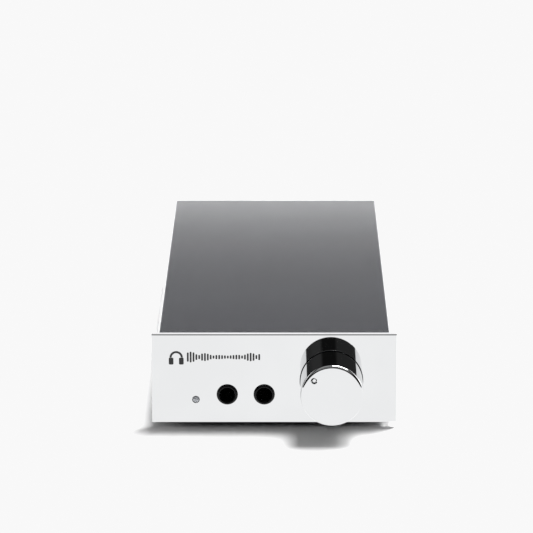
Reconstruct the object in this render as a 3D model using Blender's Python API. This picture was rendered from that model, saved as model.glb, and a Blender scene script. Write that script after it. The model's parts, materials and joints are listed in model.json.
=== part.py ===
"""Headphone amplifier: a folded metal case behind a thick bright front panel, with a large volume knob.

Everything hangs from one empty, CASE_FRAME. In its space y = 0 is the front panel's front face, +y runs
back through the case, z = 0 is the table that the feet stand on, and x = 0 is the middle of the case.
"""

import math

import bmesh
import bpy
from mathutils import Matrix, Vector

MM = 0.001

# Driving dimensions of the casing
PANEL_WIDTH = 110 * MM
PANEL_HEIGHT = 41.3 * MM
PANEL_THICKNESS = 3 * MM
PANEL_CHAMFER = 0.5 * MM
PANEL_FLOOR_GAP = 2.7 * MM
CASE_DEPTH = 248 * MM
CASE_SIDE_INSET = 2.2 * MM
CASE_TOP_INSET = 1 * MM
SHEET = 1.5 * MM
BEND_RADIUS = 2 * MM
FLANGE_HEIGHT = 8 * MM
GAP = 0.3 * MM
FIT = 0.2 * MM

# The controls on the front
KNOB_X = 25.7 * MM
KNOB_Z = PANEL_FLOOR_GAP + 19.6 * MM
KNOB_RADIUS = 14 * MM
KNOB_REACH = 22.8 * MM
KNOB_EDGE_RADIUS = 1.3 * MM
KNOB_OPENING_RADIUS = 14.8 * MM
POINTER_ANGLE = math.radians(49)
POINTER_RADIUS = 10.5 * MM
SHAFT_RADIUS = 3 * MM
JACK_XS = {"left": -21.1 * MM, "right": -4.5 * MM}
JACK_Z = PANEL_FLOOR_GAP + 13.2 * MM
JACK_BUSH_RADIUS = 4.5 * MM
JACK_BORE_RADIUS = 3.25 * MM
JACK_BUSH_REACH = 1.5 * MM
LED_X = -35.2 * MM
LED_Z = PANEL_FLOOR_GAP + 10.8 * MM
LED_RADIUS = 1.5 * MM

# The connectors on the back
INLET_X = -30 * MM
SWITCH_X = -5 * MM
PHONO_XS = {"output": 17 * MM, "input": 33 * MM}
PHONO_ROW_RISE = 7.8 * MM
PHONO_REACH = 9.2 * MM

# Levels worked out from them
CASE_HALF_WIDTH = PANEL_WIDTH / 2 - CASE_SIDE_INSET
CASE_BOTTOM = PANEL_FLOOR_GAP + CASE_TOP_INSET
CASE_TOP = PANEL_FLOOR_GAP + PANEL_HEIGHT - CASE_TOP_INSET
CASE_MIDDLE_Z = (CASE_BOTTOM + CASE_TOP) / 2
UNDER_COVER = CASE_TOP - SHEET - FIT
SHELL_FRONT = PANEL_THICKNESS + FIT
TRAY_HALF_WIDTH = CASE_HALF_WIDTH - SHEET - FIT
UPSTAND_BACK = SHELL_FRONT + SHEET
REAR_PANEL_FRONT = CASE_DEPTH - SHEET
TRAY_BACK = REAR_PANEL_FRONT - FIT
FLANGE_TOP = CASE_BOTTOM + FLANGE_HEIGHT
BOARD_THICKNESS = 1.6 * MM
BOARD_UNDERSIDE = CASE_BOTTOM + 4 * MM
BOARD_TOP = BOARD_UNDERSIDE + BOARD_THICKNESS
ON_BOARD = BOARD_TOP + FIT
BEHIND_UPSTAND = UPSTAND_BACK + GAP
PHONO_ZS = {"right": CASE_MIDDLE_Z - PHONO_ROW_RISE, "left": CASE_MIDDLE_Z + PHONO_ROW_RISE}
FRAME_Y = (KNOB_REACH - CASE_DEPTH - PHONO_REACH) / 2

# Where the fasteners and feet sit
SIDES = (-1, 1)
M3_CLEARANCE = 1.6 * MM
M25_CLEARANCE = 1.4 * MM
PANEL_SCREW_INSET = 5.5 * MM
CASE_SCREW_INSET = 4.5 * MM
PANEL_SCREW_ZS = (CASE_BOTTOM + PANEL_SCREW_INSET, CASE_TOP - PANEL_SCREW_INSET)
REAR_SCREW_ZS = (CASE_BOTTOM + CASE_SCREW_INSET, CASE_TOP - CASE_SCREW_INSET)
PANEL_SCREWS = [(side * 46.5 * MM, z) for side in SIDES for z in PANEL_SCREW_ZS]
REAR_SCREWS = [(side * 46 * MM, z) for side in SIDES for z in REAR_SCREW_ZS]
COVER_SCREWS = [(side, y) for side in SIDES for y in (40 * MM, 208 * MM)]
COVER_SCREW_Z = CASE_BOTTOM + CASE_SCREW_INSET
BOARD_SCREWS = [(side * 44 * MM, y) for side in SIDES for y in (22 * MM, 222 * MM)]
FEET = [(side * 40 * MM, y) for side in SIDES for y in (24 * MM, 224 * MM)]

# The rocker switch and the gain switches
SWITCH_PIVOT_Y = CASE_DEPTH - 2 * MM
SWITCH_REST_TILT = math.radians(-12)
GAIN_Y = 125 * MM
GAIN_PITCH = 2.54 * MM
GAIN_COUNT = 4
GAIN_TRAVEL = 1.6 * MM
GAIN_BLOCK = (11.4 * MM, 9.6 * MM)


# Materials

def principled(name, colour, roughness, metallic=0.0):
    """A Principled BSDF material; colour is linear red, green and blue."""
    made = bpy.data.materials.new(name)
    made.use_nodes = True
    shader = made.node_tree.nodes["Principled BSDF"]
    shader.inputs["Base Color"].default_value = (*colour, 1.0)
    shader.inputs["Roughness"].default_value = roughness
    shader.inputs["Metallic"].default_value = metallic
    return made


def make_materials():
    return {
        "chrome": principled("polished_chrome", (0.83, 0.84, 0.85), 0.04, 1.0),
        "shell": principled("anthracite_shell", (0.035, 0.036, 0.04), 0.35),
        "rubber": principled("rubber", (0.02, 0.02, 0.02), 0.85),
        "steel": principled("plated_steel", (0.55, 0.55, 0.56), 0.3, 1.0),
        "black_steel": principled("black_steel", (0.03, 0.03, 0.03), 0.4, 1.0),
        "black_plastic": principled("black_plastic", (0.015, 0.015, 0.016), 0.35),
        "lamp": principled("lamp_resin", (0.5, 0.52, 0.55), 0.15),
        "board": principled("board_laminate", (0.02, 0.12, 0.05), 0.4),
        "blue": principled("potentiometer_case", (0.03, 0.09, 0.35), 0.4),
        "can": principled("capacitor_sleeve", (0.02, 0.02, 0.05), 0.3),
        "heatsink": principled("heatsink_aluminium", (0.08, 0.08, 0.085), 0.5, 1.0),
        "gold": principled("gold_plate", (0.85, 0.6, 0.25), 0.2, 1.0),
        "nickel": principled("nickel_plate", (0.7, 0.68, 0.62), 0.2, 1.0),
        "red_plastic": principled("gain_switch_case", (0.35, 0.02, 0.02), 0.4),
        "white_plastic": principled("gain_slider", (0.8, 0.8, 0.78), 0.4),
    }


# Shape tools. Each adds a closed shape to a bmesh, in the space of the object that it becomes.

AXES = {"X": Vector((1, 0, 0)), "Y": Vector((0, 1, 0)), "Z": Vector((0, 0, 1))}
ORIGIN = (0, 0, 0)


def add_block(bm, low, high):
    low, high = Vector(low), Vector(high)
    place = Matrix.Translation((low + high) / 2) @ Matrix.Diagonal((*(high - low), 1))
    bmesh.ops.create_cube(bm, size=1, matrix=place)


def across_and_along(a, b, along, axis):
    """A point from its two coordinates across an axis, in X, Y, Z order, and its place along it."""
    return Vector({"X": (along, a, b), "Y": (a, along, b), "Z": (a, b, along)}[axis])


def add_prism(bm, outline, axis, start, end):
    """The outline, a list of points across the axis, extruded along it."""
    rim = [bm.verts.new(across_and_along(a, b, start, axis)) for a, b in outline]
    face = bm.faces.new(rim)
    made = bmesh.ops.extrude_face_region(bm, geom=[face])["geom"]
    moved = [item for item in made if isinstance(item, bmesh.types.BMVert)]
    bmesh.ops.translate(bm, verts=moved, vec=AXES[axis] * (end - start))
    bmesh.ops.recalc_face_normals(bm, faces=bm.faces)


def add_turned(bm, profile, axis, centre=ORIGIN, segments=24):
    """Spins a profile of (along, radius) points, whose two ends lie on the axis or meet, round an axis."""
    centre = Vector(centre)
    along_axis = AXES[axis]
    outwards = AXES["Y"] if axis == "X" else AXES["X"]
    rim = [bm.verts.new(centre + along_axis * along + outwards * radius) for along, radius in profile]
    edges = [bm.edges.new(pair) for pair in zip(rim, rim[1:])]
    starts_on_axis = profile[0][1] == 0
    if not starts_on_axis:
        edges.append(bm.edges.new((rim[-1], rim[0])))
    bmesh.ops.spin(bm, geom=rim + edges, cent=centre, axis=along_axis, angle=math.tau,
                   steps=segments, use_merge=True, use_duplicate=False)
    weld_distance = 0.0001 * MM
    bmesh.ops.remove_doubles(bm, verts=bm.verts, dist=weld_distance)
    bmesh.ops.recalc_face_normals(bm, faces=bm.faces)


def add_rod(bm, start, end, radius, axis, centre=ORIGIN, segments=24):
    add_turned(bm, [(start, 0), (start, radius), (end, radius), (end, 0)], axis, centre, segments)


def add_tube(bm, start, end, outer, inner, axis, segments=24):
    profile = [(start, inner), (start, outer), (end, outer), (end, inner)]
    add_turned(bm, profile, axis, segments=segments)


def arc(centre, radius, start, end, steps):
    """Points on an arc, with its angles in degrees."""
    angles = [math.radians(start + (end - start) * i / steps) for i in range(steps + 1)]
    return [(centre[0] + radius * math.cos(a), centre[1] + radius * math.sin(a)) for a in angles]


def rounded_rectangle(width, height, radius, steps=3):
    x, z = width / 2 - radius, height / 2 - radius
    corners = ((x, z, 0), (-x, z, 90), (-x, -z, 180), (x, -z, 270))
    return [p for cx, cz, turn in corners for p in arc((cx, cz), radius, turn, turn + 90, steps)]


# Object tools

class Workshop:
    """Makes the objects, gives them their materials and hangs them from the case's frame."""

    def __init__(self):
        self.materials = make_materials()
        self.frame = bpy.data.objects.new("CASE_FRAME", None)
        self.frame.location = (0, FRAME_Y, 0)
        bpy.context.collection.objects.link(self.frame)

    def add(self, name, bm, material, location=ORIGIN, tilt=0.0):
        """An object from a bmesh; tilt turns it about X."""
        mesh = bpy.data.meshes.new(name)
        bm.to_mesh(mesh)
        bm.free()
        mesh.shade_smooth()
        mesh.set_sharp_from_angle(angle=math.radians(35))
        made = bpy.data.objects.new(name, mesh)
        made.parent = self.frame
        made.location = location
        made.rotation_euler = (tilt, 0, 0)
        mesh.materials.append(self.materials[material])
        bpy.context.collection.objects.link(made)
        return made

    def combine(self, target, operation, bm):
        """A Boolean on target with the hidden shape in bm, which shares the target's space."""
        step = len(target.modifiers) + 1
        helper = self.add(f"{target.name}_{operation.lower()}_{step}", bm, "steel", target.location)
        helper.hide_render = True
        helper.display_type = "WIRE"
        boolean = target.modifiers.new(operation.title(), "BOOLEAN")
        boolean.operation = operation
        boolean.solver = "EXACT"
        boolean.object = helper

    def screw(self, name, material, location, axis, size):
        """A screw whose head rises along +axis from location and whose shank runs the other way."""
        head, crown, rise = size["head_radius"], 0.75 * size["head_radius"], size["head_height"]
        profile = [(rise, 0), (rise, crown), (0.6 * rise, head), (0, head), (0, size["shank_radius"]),
                   (-size["length"], size["shank_radius"]), (-size["length"], 0)]
        bm = bmesh.new()
        add_turned(bm, profile, axis, segments=12)
        return self.add(name, bm, material, location)


# The casing

def add_round_holes(bm, places, radius, start, end, segments=12):
    """Rods along y at each (x, z), for cutting screw holes."""
    for x, z in places:
        add_rod(bm, start, end, radius, "Y", (x, 0, z), segments)


def add_control_holes(bm, start, end, knob_hole_radius):
    """The holes that the front controls share, from start to end along y."""
    loose = 0.15 * MM
    add_round_holes(bm, [(KNOB_X, KNOB_Z)], knob_hole_radius, start, end, 48)
    jacks = [(x, JACK_Z) for x in JACK_XS.values()]
    add_round_holes(bm, jacks, JACK_BUSH_RADIUS + loose, start, end, 32)
    add_round_holes(bm, [(LED_X, LED_Z)], LED_RADIUS + loose, start, end, 20)


def add_plate_under_cover(bm, front, back):
    """A block that fills the cover's cross-section, its top corners cut clear of the cover's bends."""
    add_block(bm, (-TRAY_HALF_WIDTH, front, CASE_BOTTOM), (TRAY_HALF_WIDTH, back, UNDER_COVER))
    corners = [e for e in bm.edges if all(v.co.z > CASE_MIDDLE_Z for v in e.verts)
               and abs(e.verts[0].co.x - e.verts[1].co.x) < FIT]
    along_y = [e for e in corners if abs(e.verts[0].co.y - e.verts[1].co.y) > FIT]
    bmesh.ops.bevel(bm, geom=along_y, offset=BEND_RADIUS - SHEET - FIT, segments=1, affect="EDGES")


def make_front_panel(shop):
    bm = bmesh.new()
    low = (-PANEL_WIDTH / 2, 0, PANEL_FLOOR_GAP)
    high = (PANEL_WIDTH / 2, PANEL_THICKNESS, PANEL_FLOOR_GAP + PANEL_HEIGHT)
    add_block(bm, low, high)
    front_edges = [e for e in bm.edges if all(v.co.y < PANEL_THICKNESS / 2 for v in e.verts)]
    bmesh.ops.bevel(bm, geom=front_edges, offset=PANEL_CHAMFER, segments=1, affect="EDGES")
    panel = shop.add("front_panel", bm, "chrome")
    holes = bmesh.new()
    add_control_holes(holes, -PANEL_THICKNESS, 2 * PANEL_THICKNESS, KNOB_OPENING_RADIUS)
    blind_hole_end = 0.8 * MM
    add_round_holes(holes, PANEL_SCREWS, M3_CLEARANCE, blind_hole_end, 2 * PANEL_THICKNESS)
    shop.combine(panel, "DIFFERENCE", holes)


def add_vents(bm, low, high):
    """Two rows of slots through the tray's floor."""
    slots_to_a_side, pitch, half_width, half_length = 3, 8 * MM, 1.25 * MM, 10 * MM
    for y in (70 * MM, 180 * MM):
        for place in range(-slots_to_a_side, slots_to_a_side + 1):
            x = place * pitch
            add_block(bm, (x - half_width, y - half_length, low), (x + half_width, y + half_length, high))


def make_chassis_tray(shop):
    """A folded floor with a full-height front upstand and a low flange round the other three sides."""
    bm = bmesh.new()
    add_plate_under_cover(bm, SHELL_FRONT, TRAY_BACK)
    tray = shop.add("chassis_tray", bm, "shell")
    inner, over = TRAY_HALF_WIDTH - SHEET, CASE_TOP + SHEET
    hollow = bmesh.new()
    add_block(hollow, (-inner, UPSTAND_BACK, CASE_BOTTOM + SHEET), (inner, TRAY_BACK - SHEET, over))
    shop.combine(tray, "DIFFERENCE", hollow)
    above = bmesh.new()
    add_block(above, (-PANEL_WIDTH, UPSTAND_BACK, FLANGE_TOP), (PANEL_WIDTH, CASE_DEPTH, over))
    shop.combine(tray, "DIFFERENCE", above)
    holes = bmesh.new()
    upstand = (SHELL_FRONT - SHEET, UPSTAND_BACK + SHEET)
    potentiometer_hole_radius = 4.2 * MM
    add_control_holes(holes, *upstand, potentiometer_hole_radius)
    add_round_holes(holes, PANEL_SCREWS, M3_CLEARANCE, *upstand)
    low_screws = [(x, z) for x, z in REAR_SCREWS if z < FLANGE_TOP]
    add_round_holes(holes, low_screws, M25_CLEARANCE, TRAY_BACK - 2 * SHEET, TRAY_BACK + SHEET)
    for side, y in COVER_SCREWS:
        x = side * TRAY_HALF_WIDTH
        add_rod(holes, x - 2 * SHEET, x + 2 * SHEET, M25_CLEARANCE, "X", (0, y, COVER_SCREW_Z), 12)
    below, above_floor = CASE_BOTTOM - SHEET, CASE_BOTTOM + 2 * SHEET
    half_x, half_y = (size / 2 + 2 * GAP for size in GAIN_BLOCK)
    add_block(holes, (-half_x, GAIN_Y - half_y, below), (half_x, GAIN_Y + half_y, above_floor))
    add_vents(holes, below, above_floor)
    shop.combine(tray, "DIFFERENCE", holes)


def make_top_cover(shop):
    """A sheet folded over the top and both sides, with two tabs behind its back edge."""
    corner_x, corner_z = CASE_HALF_WIDTH - BEND_RADIUS, CASE_TOP - BEND_RADIUS
    inner_radius, bend_steps = BEND_RADIUS - SHEET, 6
    outer = arc((corner_x, corner_z), BEND_RADIUS, 0, 90, bend_steps)
    outer += arc((-corner_x, corner_z), BEND_RADIUS, 90, 180, bend_steps)
    inner = arc((-corner_x, corner_z), inner_radius, 180, 90, bend_steps)
    inner += arc((corner_x, corner_z), inner_radius, 90, 0, bend_steps)
    left_foot = [(-CASE_HALF_WIDTH, CASE_BOTTOM), (-CASE_HALF_WIDTH + SHEET, CASE_BOTTOM)]
    right_foot = [(CASE_HALF_WIDTH - SHEET, CASE_BOTTOM), (CASE_HALF_WIDTH, CASE_BOTTOM)]
    bm = bmesh.new()
    add_prism(bm, [*outer, *left_foot, *inner, *right_foot], "Y", SHELL_FRONT, CASE_DEPTH)
    cover = shop.add("top_cover", bm, "shell")
    high_screws = [(x, z) for x, z in REAR_SCREWS if z > FLANGE_TOP]
    tab_half_width = 3.5 * MM
    tabs = bmesh.new()
    for x, z in high_screws:
        low = (x - tab_half_width, TRAY_BACK - SHEET, z - tab_half_width)
        add_block(tabs, low, (x + tab_half_width, TRAY_BACK, CASE_TOP - SHEET / 2))
    shop.combine(cover, "UNION", tabs)
    holes = bmesh.new()
    for side, y in COVER_SCREWS:
        x = side * CASE_HALF_WIDTH
        add_rod(holes, x - 2 * SHEET, x + 2 * SHEET, M25_CLEARANCE, "X", (0, y, COVER_SCREW_Z), 12)
    add_round_holes(holes, high_screws, M25_CLEARANCE, TRAY_BACK - 2 * SHEET, TRAY_BACK + SHEET / 2)
    shop.combine(cover, "DIFFERENCE", holes)


def make_rear_panel(shop):
    bm = bmesh.new()
    add_plate_under_cover(bm, REAR_PANEL_FRONT, CASE_DEPTH)
    panel = shop.add("rear_panel", bm, "shell")
    start, end = REAR_PANEL_FRONT - SHEET, CASE_DEPTH + SHEET
    phono_hole_radius = 3.7 * MM
    holes = bmesh.new()
    add_round_holes(holes, REAR_SCREWS, M25_CLEARANCE, start, end)
    phonos = [(x, z) for x in PHONO_XS.values() for z in PHONO_ZS.values()]
    add_round_holes(holes, phonos, phono_hole_radius, start, end, 24)
    cut_outs = {INLET_X: (13.8 * MM, 10.1 * MM), SWITCH_X: (6.7 * MM, 9.7 * MM)}
    for x, (half_x, half_z) in cut_outs.items():
        low = (x - half_x, start, CASE_MIDDLE_Z - half_z)
        add_block(holes, low, (x + half_x, end, CASE_MIDDLE_Z + half_z))
    shop.combine(panel, "DIFFERENCE", holes)


def make_feet(shop):
    height, radius, edge = CASE_BOTTOM - FIT, 8 * MM, 0.8 * MM
    profile = [(0, 0), (0, radius - edge), (edge, radius), (height, radius), (height, 0)]
    for number, (x, y) in enumerate(FEET, 1):
        bm = bmesh.new()
        add_turned(bm, profile, "Z", segments=24)
        shop.add(f"rubber_foot_{number}", bm, "rubber", (x, y, 0))


def make_casing_screws(shop):
    under_head = 0.1 * MM
    m3 = {"head_radius": 2.75 * MM, "head_height": 2 * MM, "shank_radius": 1.3 * MM, "length": 3.6 * MM}
    m25 = {"head_radius": 2.4 * MM, "head_height": 1.4 * MM, "shank_radius": 1.15 * MM, "length": 4.5 * MM}
    for number, (x, z) in enumerate(PANEL_SCREWS, 1):
        shop.screw(f"front_panel_screw_{number}", "steel", (x, UPSTAND_BACK + under_head, z), "Y", m3)
    for number, (x, z) in enumerate(REAR_SCREWS, 1):
        shop.screw(f"rear_panel_screw_{number}", "black_steel", (x, CASE_DEPTH + under_head, z), "Y", m25)
    for number, (side, y) in enumerate(COVER_SCREWS, 1):
        place = (side * (CASE_HALF_WIDTH + under_head), y, COVER_SCREW_Z)
        screw = shop.screw(f"cover_screw_{number}", "black_steel", place, "X", m25)
        screw.rotation_euler = (0, 0, 0 if side > 0 else math.pi)


# The volume control. Its pieces stand at the shaft's axis, with y measured from the panel's face.

KNOB_PLACE = (KNOB_X, 0, KNOB_Z)
GRUB_Y = -9 * MM
SHAFT_TIP = -16 * MM


def make_volume_knob(shop):
    """A cap turned from bar, open at the back over the potentiometer's nut, with a drilled pointer."""
    front, back, back_chamfer = -KNOB_REACH, 0.6 * MM, 0.3 * MM
    recess_floor, recess_radius = -3.4 * MM, 10 * MM
    bore_floor, bore_radius = SHAFT_TIP - 1 * MM, SHAFT_RADIUS + 0.15 * MM
    edge_centre = (front + KNOB_EDGE_RADIUS, KNOB_RADIUS - KNOB_EDGE_RADIUS)
    rounded_edge = arc(edge_centre, KNOB_EDGE_RADIUS, 180, 90, 5)
    outside = [(front, 0), *rounded_edge, (back - back_chamfer, KNOB_RADIUS),
               (back, KNOB_RADIUS - back_chamfer)]
    inside = [(back, recess_radius), (recess_floor, recess_radius), (recess_floor, bore_radius),
              (bore_floor, bore_radius), (bore_floor, 0)]
    bm = bmesh.new()
    add_turned(bm, outside + inside, "Y", segments=48)
    knob = shop.add("volume_knob", bm, "chrome", KNOB_PLACE)
    centre = (-math.sin(POINTER_ANGLE) * POINTER_RADIUS, 0, math.cos(POINTER_ANGLE) * POINTER_RADIUS)
    rim, depth = 1.2 * MM, 0.7 * MM
    floor = (front + depth, rim / 2)
    dimple = [(front - depth, 0), (front - depth, rim), (front, rim), floor, (front + depth, 0)]
    pointer = bmesh.new()
    add_turned(pointer, dimple, "Y", centre, 16)
    shop.combine(knob, "DIFFERENCE", pointer)
    grub_hole = bmesh.new()
    add_rod(grub_hole, -KNOB_RADIUS - 1 * MM, -SHAFT_RADIUS + 1 * MM, 1.5 * MM, "Z", (0, GRUB_Y, 0), 12)
    shop.combine(knob, "DIFFERENCE", grub_hole)


def make_grub_screw(shop):
    head, tip, radius, tip_radius = -8 * MM, -SHAFT_RADIUS - FIT, 1.3 * MM, 0.8 * MM
    shoulder = tip - 0.4 * MM
    profile = [(head, 0), (head, radius), (shoulder, radius), (tip, tip_radius), (tip, 0)]
    bm = bmesh.new()
    add_turned(bm, profile, "Z", (0, GRUB_Y, 0), 12)
    shop.add("knob_grub_screw", bm, "steel", KNOB_PLACE)


def make_potentiometer(shop):
    half_width, top, back = 13.5 * MM, 12.2 * MM, 31 * MM
    bush_radius, bush_front, bush_wall = 4 * MM, -2.5 * MM, 0.8 * MM
    shaft_end = BEHIND_UPSTAND + 3 * MM
    bm = bmesh.new()
    add_block(bm, (-half_width, BEHIND_UPSTAND, ON_BOARD - KNOB_Z), (half_width, back, top))
    body = shop.add("potentiometer_body", bm, "blue", KNOB_PLACE)
    seat = bmesh.new()
    add_rod(seat, BEHIND_UPSTAND - GAP, shaft_end + GAP, SHAFT_RADIUS + GAP, "Y")
    shop.combine(body, "DIFFERENCE", seat)
    bm = bmesh.new()
    add_tube(bm, bush_front, BEHIND_UPSTAND - FIT / 2, bush_radius, bush_radius - bush_wall, "Y")
    shop.add("potentiometer_bushing", bm, "steel", KNOB_PLACE)
    tip_chamfer = 0.4 * MM
    profile = [(SHAFT_TIP, 0), (SHAFT_TIP, SHAFT_RADIUS - tip_chamfer),
               (SHAFT_TIP + tip_chamfer, SHAFT_RADIUS), (shaft_end, SHAFT_RADIUS), (shaft_end, 0)]
    bm = bmesh.new()
    add_turned(bm, profile, "Y")
    shop.add("potentiometer_shaft", bm, "steel", KNOB_PLACE)
    nut_radius, nut_front = 6.35 * MM, 1 * MM
    bm = bmesh.new()
    add_prism(bm, arc((0, 0), nut_radius, 0, 300, 5), "Y", nut_front, PANEL_THICKNESS)
    nut = shop.add("potentiometer_nut", bm, "steel", KNOB_PLACE)
    bore = bmesh.new()
    add_rod(bore, 0, 2 * PANEL_THICKNESS, bush_radius + FIT, "Y")
    shop.combine(nut, "DIFFERENCE", bore)


# The headphone jacks and the power lamp

def make_headphone_jacks(shop):
    """Each jack is a box on the board, with a bush that passes through the panel."""
    half_width, half_height = 7.7 * MM, JACK_Z - ON_BOARD
    back, bore_end = 32 * MM, 30.5 * MM
    rim, lead_in = -JACK_BUSH_REACH, 0.5 * MM
    bush_back = BEHIND_UPSTAND - FIT / 2
    bush = [(rim, JACK_BORE_RADIUS + lead_in), (rim, JACK_BUSH_RADIUS - lead_in / 2),
            (rim + lead_in / 2, JACK_BUSH_RADIUS), (bush_back, JACK_BUSH_RADIUS),
            (bush_back, JACK_BORE_RADIUS), (rim + lead_in, JACK_BORE_RADIUS)]
    for side, x in JACK_XS.items():
        bm = bmesh.new()
        add_block(bm, (-half_width, BEHIND_UPSTAND, -half_height), (half_width, back, half_height))
        housing = shop.add(f"jack_housing_{side}", bm, "black_plastic", (x, 0, JACK_Z))
        bore = bmesh.new()
        add_rod(bore, BEHIND_UPSTAND - GAP, bore_end, JACK_BORE_RADIUS, "Y")
        shop.combine(housing, "DIFFERENCE", bore)
        bm = bmesh.new()
        add_turned(bm, bush, "Y", segments=32)
        shop.add(f"jack_bushing_{side}", bm, "black_plastic", (x, 0, JACK_Z))


def make_power_lamp(shop):
    """A 3 mm lamp whose dome just clears the panel, on two bent legs."""
    tip, flange, flange_radius = -1 * MM, UPSTAND_BACK + FIT, 1.9 * MM
    back = flange + 1 * MM
    dome = arc((tip + LED_RADIUS, 0), LED_RADIUS, 180, 90, 5)
    collar = [(flange, LED_RADIUS), (flange, flange_radius), (back, flange_radius), (back, 0)]
    bm = bmesh.new()
    add_turned(bm, dome + collar, "Y", segments=20)
    lamp = shop.add("power_lamp", bm, "lamp", (LED_X, 0, LED_Z))
    half, elbow, drop, leg_x = 0.25 * MM, 11.5 * MM, ON_BOARD - LED_Z, 1.27 * MM
    root = back - 2 * half
    legs = bmesh.new()
    for x in (-leg_x, leg_x):
        side_view = [(root, half), (elbow, half), (elbow, drop), (elbow - 2 * half, drop),
                     (elbow - 2 * half, -half), (root, -half)]
        add_prism(legs, side_view, "X", x - half, x + half)
    shop.combine(lamp, "UNION", legs)


# The board and what stands on it

def make_main_board(shop):
    half_width, front, back = 47.5 * MM, 10 * MM, 230 * MM
    bm = bmesh.new()
    add_block(bm, (-half_width, front, BOARD_UNDERSIDE), (half_width, back, BOARD_TOP))
    board = shop.add("main_board", bm, "board")
    holes = bmesh.new()
    for x, y in BOARD_SCREWS:
        add_rod(holes, BOARD_UNDERSIDE - SHEET, BOARD_TOP + SHEET, M3_CLEARANCE, "Z", (x, y, 0), 16)
    shop.combine(board, "DIFFERENCE", holes)


def make_board_fixings(shop):
    foot, pillar_radius, under_head = CASE_BOTTOM + SHEET + FIT, 3 * MM, 0.1 * MM
    m3 = {"head_radius": 2.75 * MM, "head_height": 2 * MM, "shank_radius": 1.3 * MM, "length": 3.8 * MM}
    for number, (x, y) in enumerate(BOARD_SCREWS, 1):
        bm = bmesh.new()
        add_tube(bm, foot, BOARD_UNDERSIDE - FIT, pillar_radius, M3_CLEARANCE, "Z", segments=16)
        shop.add(f"board_pillar_{number}", bm, "steel", (x, y, 0))
        shop.screw(f"board_screw_{number}", "steel", (x, y, BOARD_TOP + under_head), "Z", m3)


def make_power_supply(shop):
    """A potted mains transformer and two reservoir capacitors."""
    half, height, corner = 30 * MM, 29 * MM, 6 * MM
    bm = bmesh.new()
    add_block(bm, (-half, -half, 0), (half, half, height))
    uprights = [e for e in bm.edges if abs((e.verts[0].co - e.verts[1].co).z) > height / 2]
    bmesh.ops.bevel(bm, geom=uprights, offset=corner, segments=3, affect="EDGES")
    shop.add("mains_transformer", bm, "black_plastic", (-10 * MM, 190 * MM, ON_BOARD))
    radius, tall, crimp = 9 * MM, 27 * MM, 0.8 * MM
    profile = [(0, 0), (0, radius), (tall - crimp, radius), (tall, radius - crimp), (tall, 0)]
    for number, y in enumerate((176 * MM, 204 * MM), 1):
        bm = bmesh.new()
        add_turned(bm, profile, "Z", segments=24)
        shop.add(f"reservoir_capacitor_{number}", bm, "can", (33 * MM, y, ON_BOARD))


def make_heatsinks(shop):
    """A comb for each channel's output transistors, its fins standing outwards."""
    fins, pitch, fin, root, reach, height = 7, 6 * MM, 1.6 * MM, 3 * MM, 13 * MM, 25 * MM
    length = (fins - 1) * pitch + fin
    for name, side in (("left", -1), ("right", 1)):
        comb = [(0, 0), (0, length)]
        for number in range(fins):
            top = length - number * pitch
            comb += [(side * reach, top), (side * reach, top - fin)]
            if number < fins - 1:
                comb += [(side * root, top - fin), (side * root, top - pitch)]
        bm = bmesh.new()
        add_prism(bm, comb, "Z", 0, height)
        shop.add(f"heatsink_{name}", bm, "heatsink", (side * 22 * MM, 100 * MM, ON_BOARD))


# The rear connectors

def make_mains_inlet(shop):
    """A three-pin appliance inlet: a flange on the rear panel, and a deep cup round the pins."""
    flange_front, mouth = CASE_DEPTH + FIT / 2, CASE_DEPTH + 2.6 * MM
    body_back, cup_floor = CASE_DEPTH - 18 * MM, CASE_DEPTH - 14.4 * MM
    body_half_x, body_half_z = 13.6 * MM, 9.9 * MM
    cup_half_x, cup_half_z, cut_corner = 12.2 * MM, 8.3 * MM, 4.5 * MM
    pin_half_x, pin_half_z, tail, tip_chamfer = 1 * MM, 2 * MM, 4 * MM, 0.5 * MM
    place = (INLET_X, 0, CASE_MIDDLE_Z)
    bm = bmesh.new()
    add_prism(bm, rounded_rectangle(31 * MM, 24 * MM, 2 * MM), "Y", flange_front, mouth)
    inlet = shop.add("mains_inlet", bm, "black_plastic", place)
    body = bmesh.new()
    add_block(body, (-body_half_x, body_back, -body_half_z), (body_half_x, mouth - SHEET, body_half_z))
    shop.combine(inlet, "UNION", body)
    outline = [(-cup_half_x, -cup_half_z), (cup_half_x, -cup_half_z), (cup_half_x, cup_half_z - cut_corner),
               (cup_half_x - cut_corner, cup_half_z), (cut_corner - cup_half_x, cup_half_z),
               (-cup_half_x, cup_half_z - cut_corner)]
    cup = bmesh.new()
    add_prism(cup, outline, "Y", cup_floor, mouth + SHEET)
    shop.combine(inlet, "DIFFERENCE", cup)
    slots = bmesh.new()
    pins = {"live": (7 * MM, -2 * MM), "neutral": (-7 * MM, -2 * MM), "earth": (0, 2 * MM)}
    for name, (x, z) in pins.items():
        slot_x, slot_z = pin_half_x + FIT, pin_half_z + FIT
        low = (x - slot_x, body_back - SHEET, z - slot_z)
        add_block(slots, low, (x + slot_x, cup_floor + SHEET, z + slot_z))
        bm = bmesh.new()
        add_block(bm, (-pin_half_x, body_back - tail, -pin_half_z), (pin_half_x, mouth - SHEET, pin_half_z))
        tip_edges = [e for e in bm.edges if all(v.co.y > CASE_DEPTH for v in e.verts)]
        bmesh.ops.bevel(bm, geom=tip_edges, offset=tip_chamfer, segments=1, affect="EDGES")
        shop.add(f"inlet_pin_{name}", bm, "nickel", (INLET_X + x, 0, CASE_MIDDLE_Z + z))
    shop.combine(inlet, "DIFFERENCE", slots)


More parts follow.
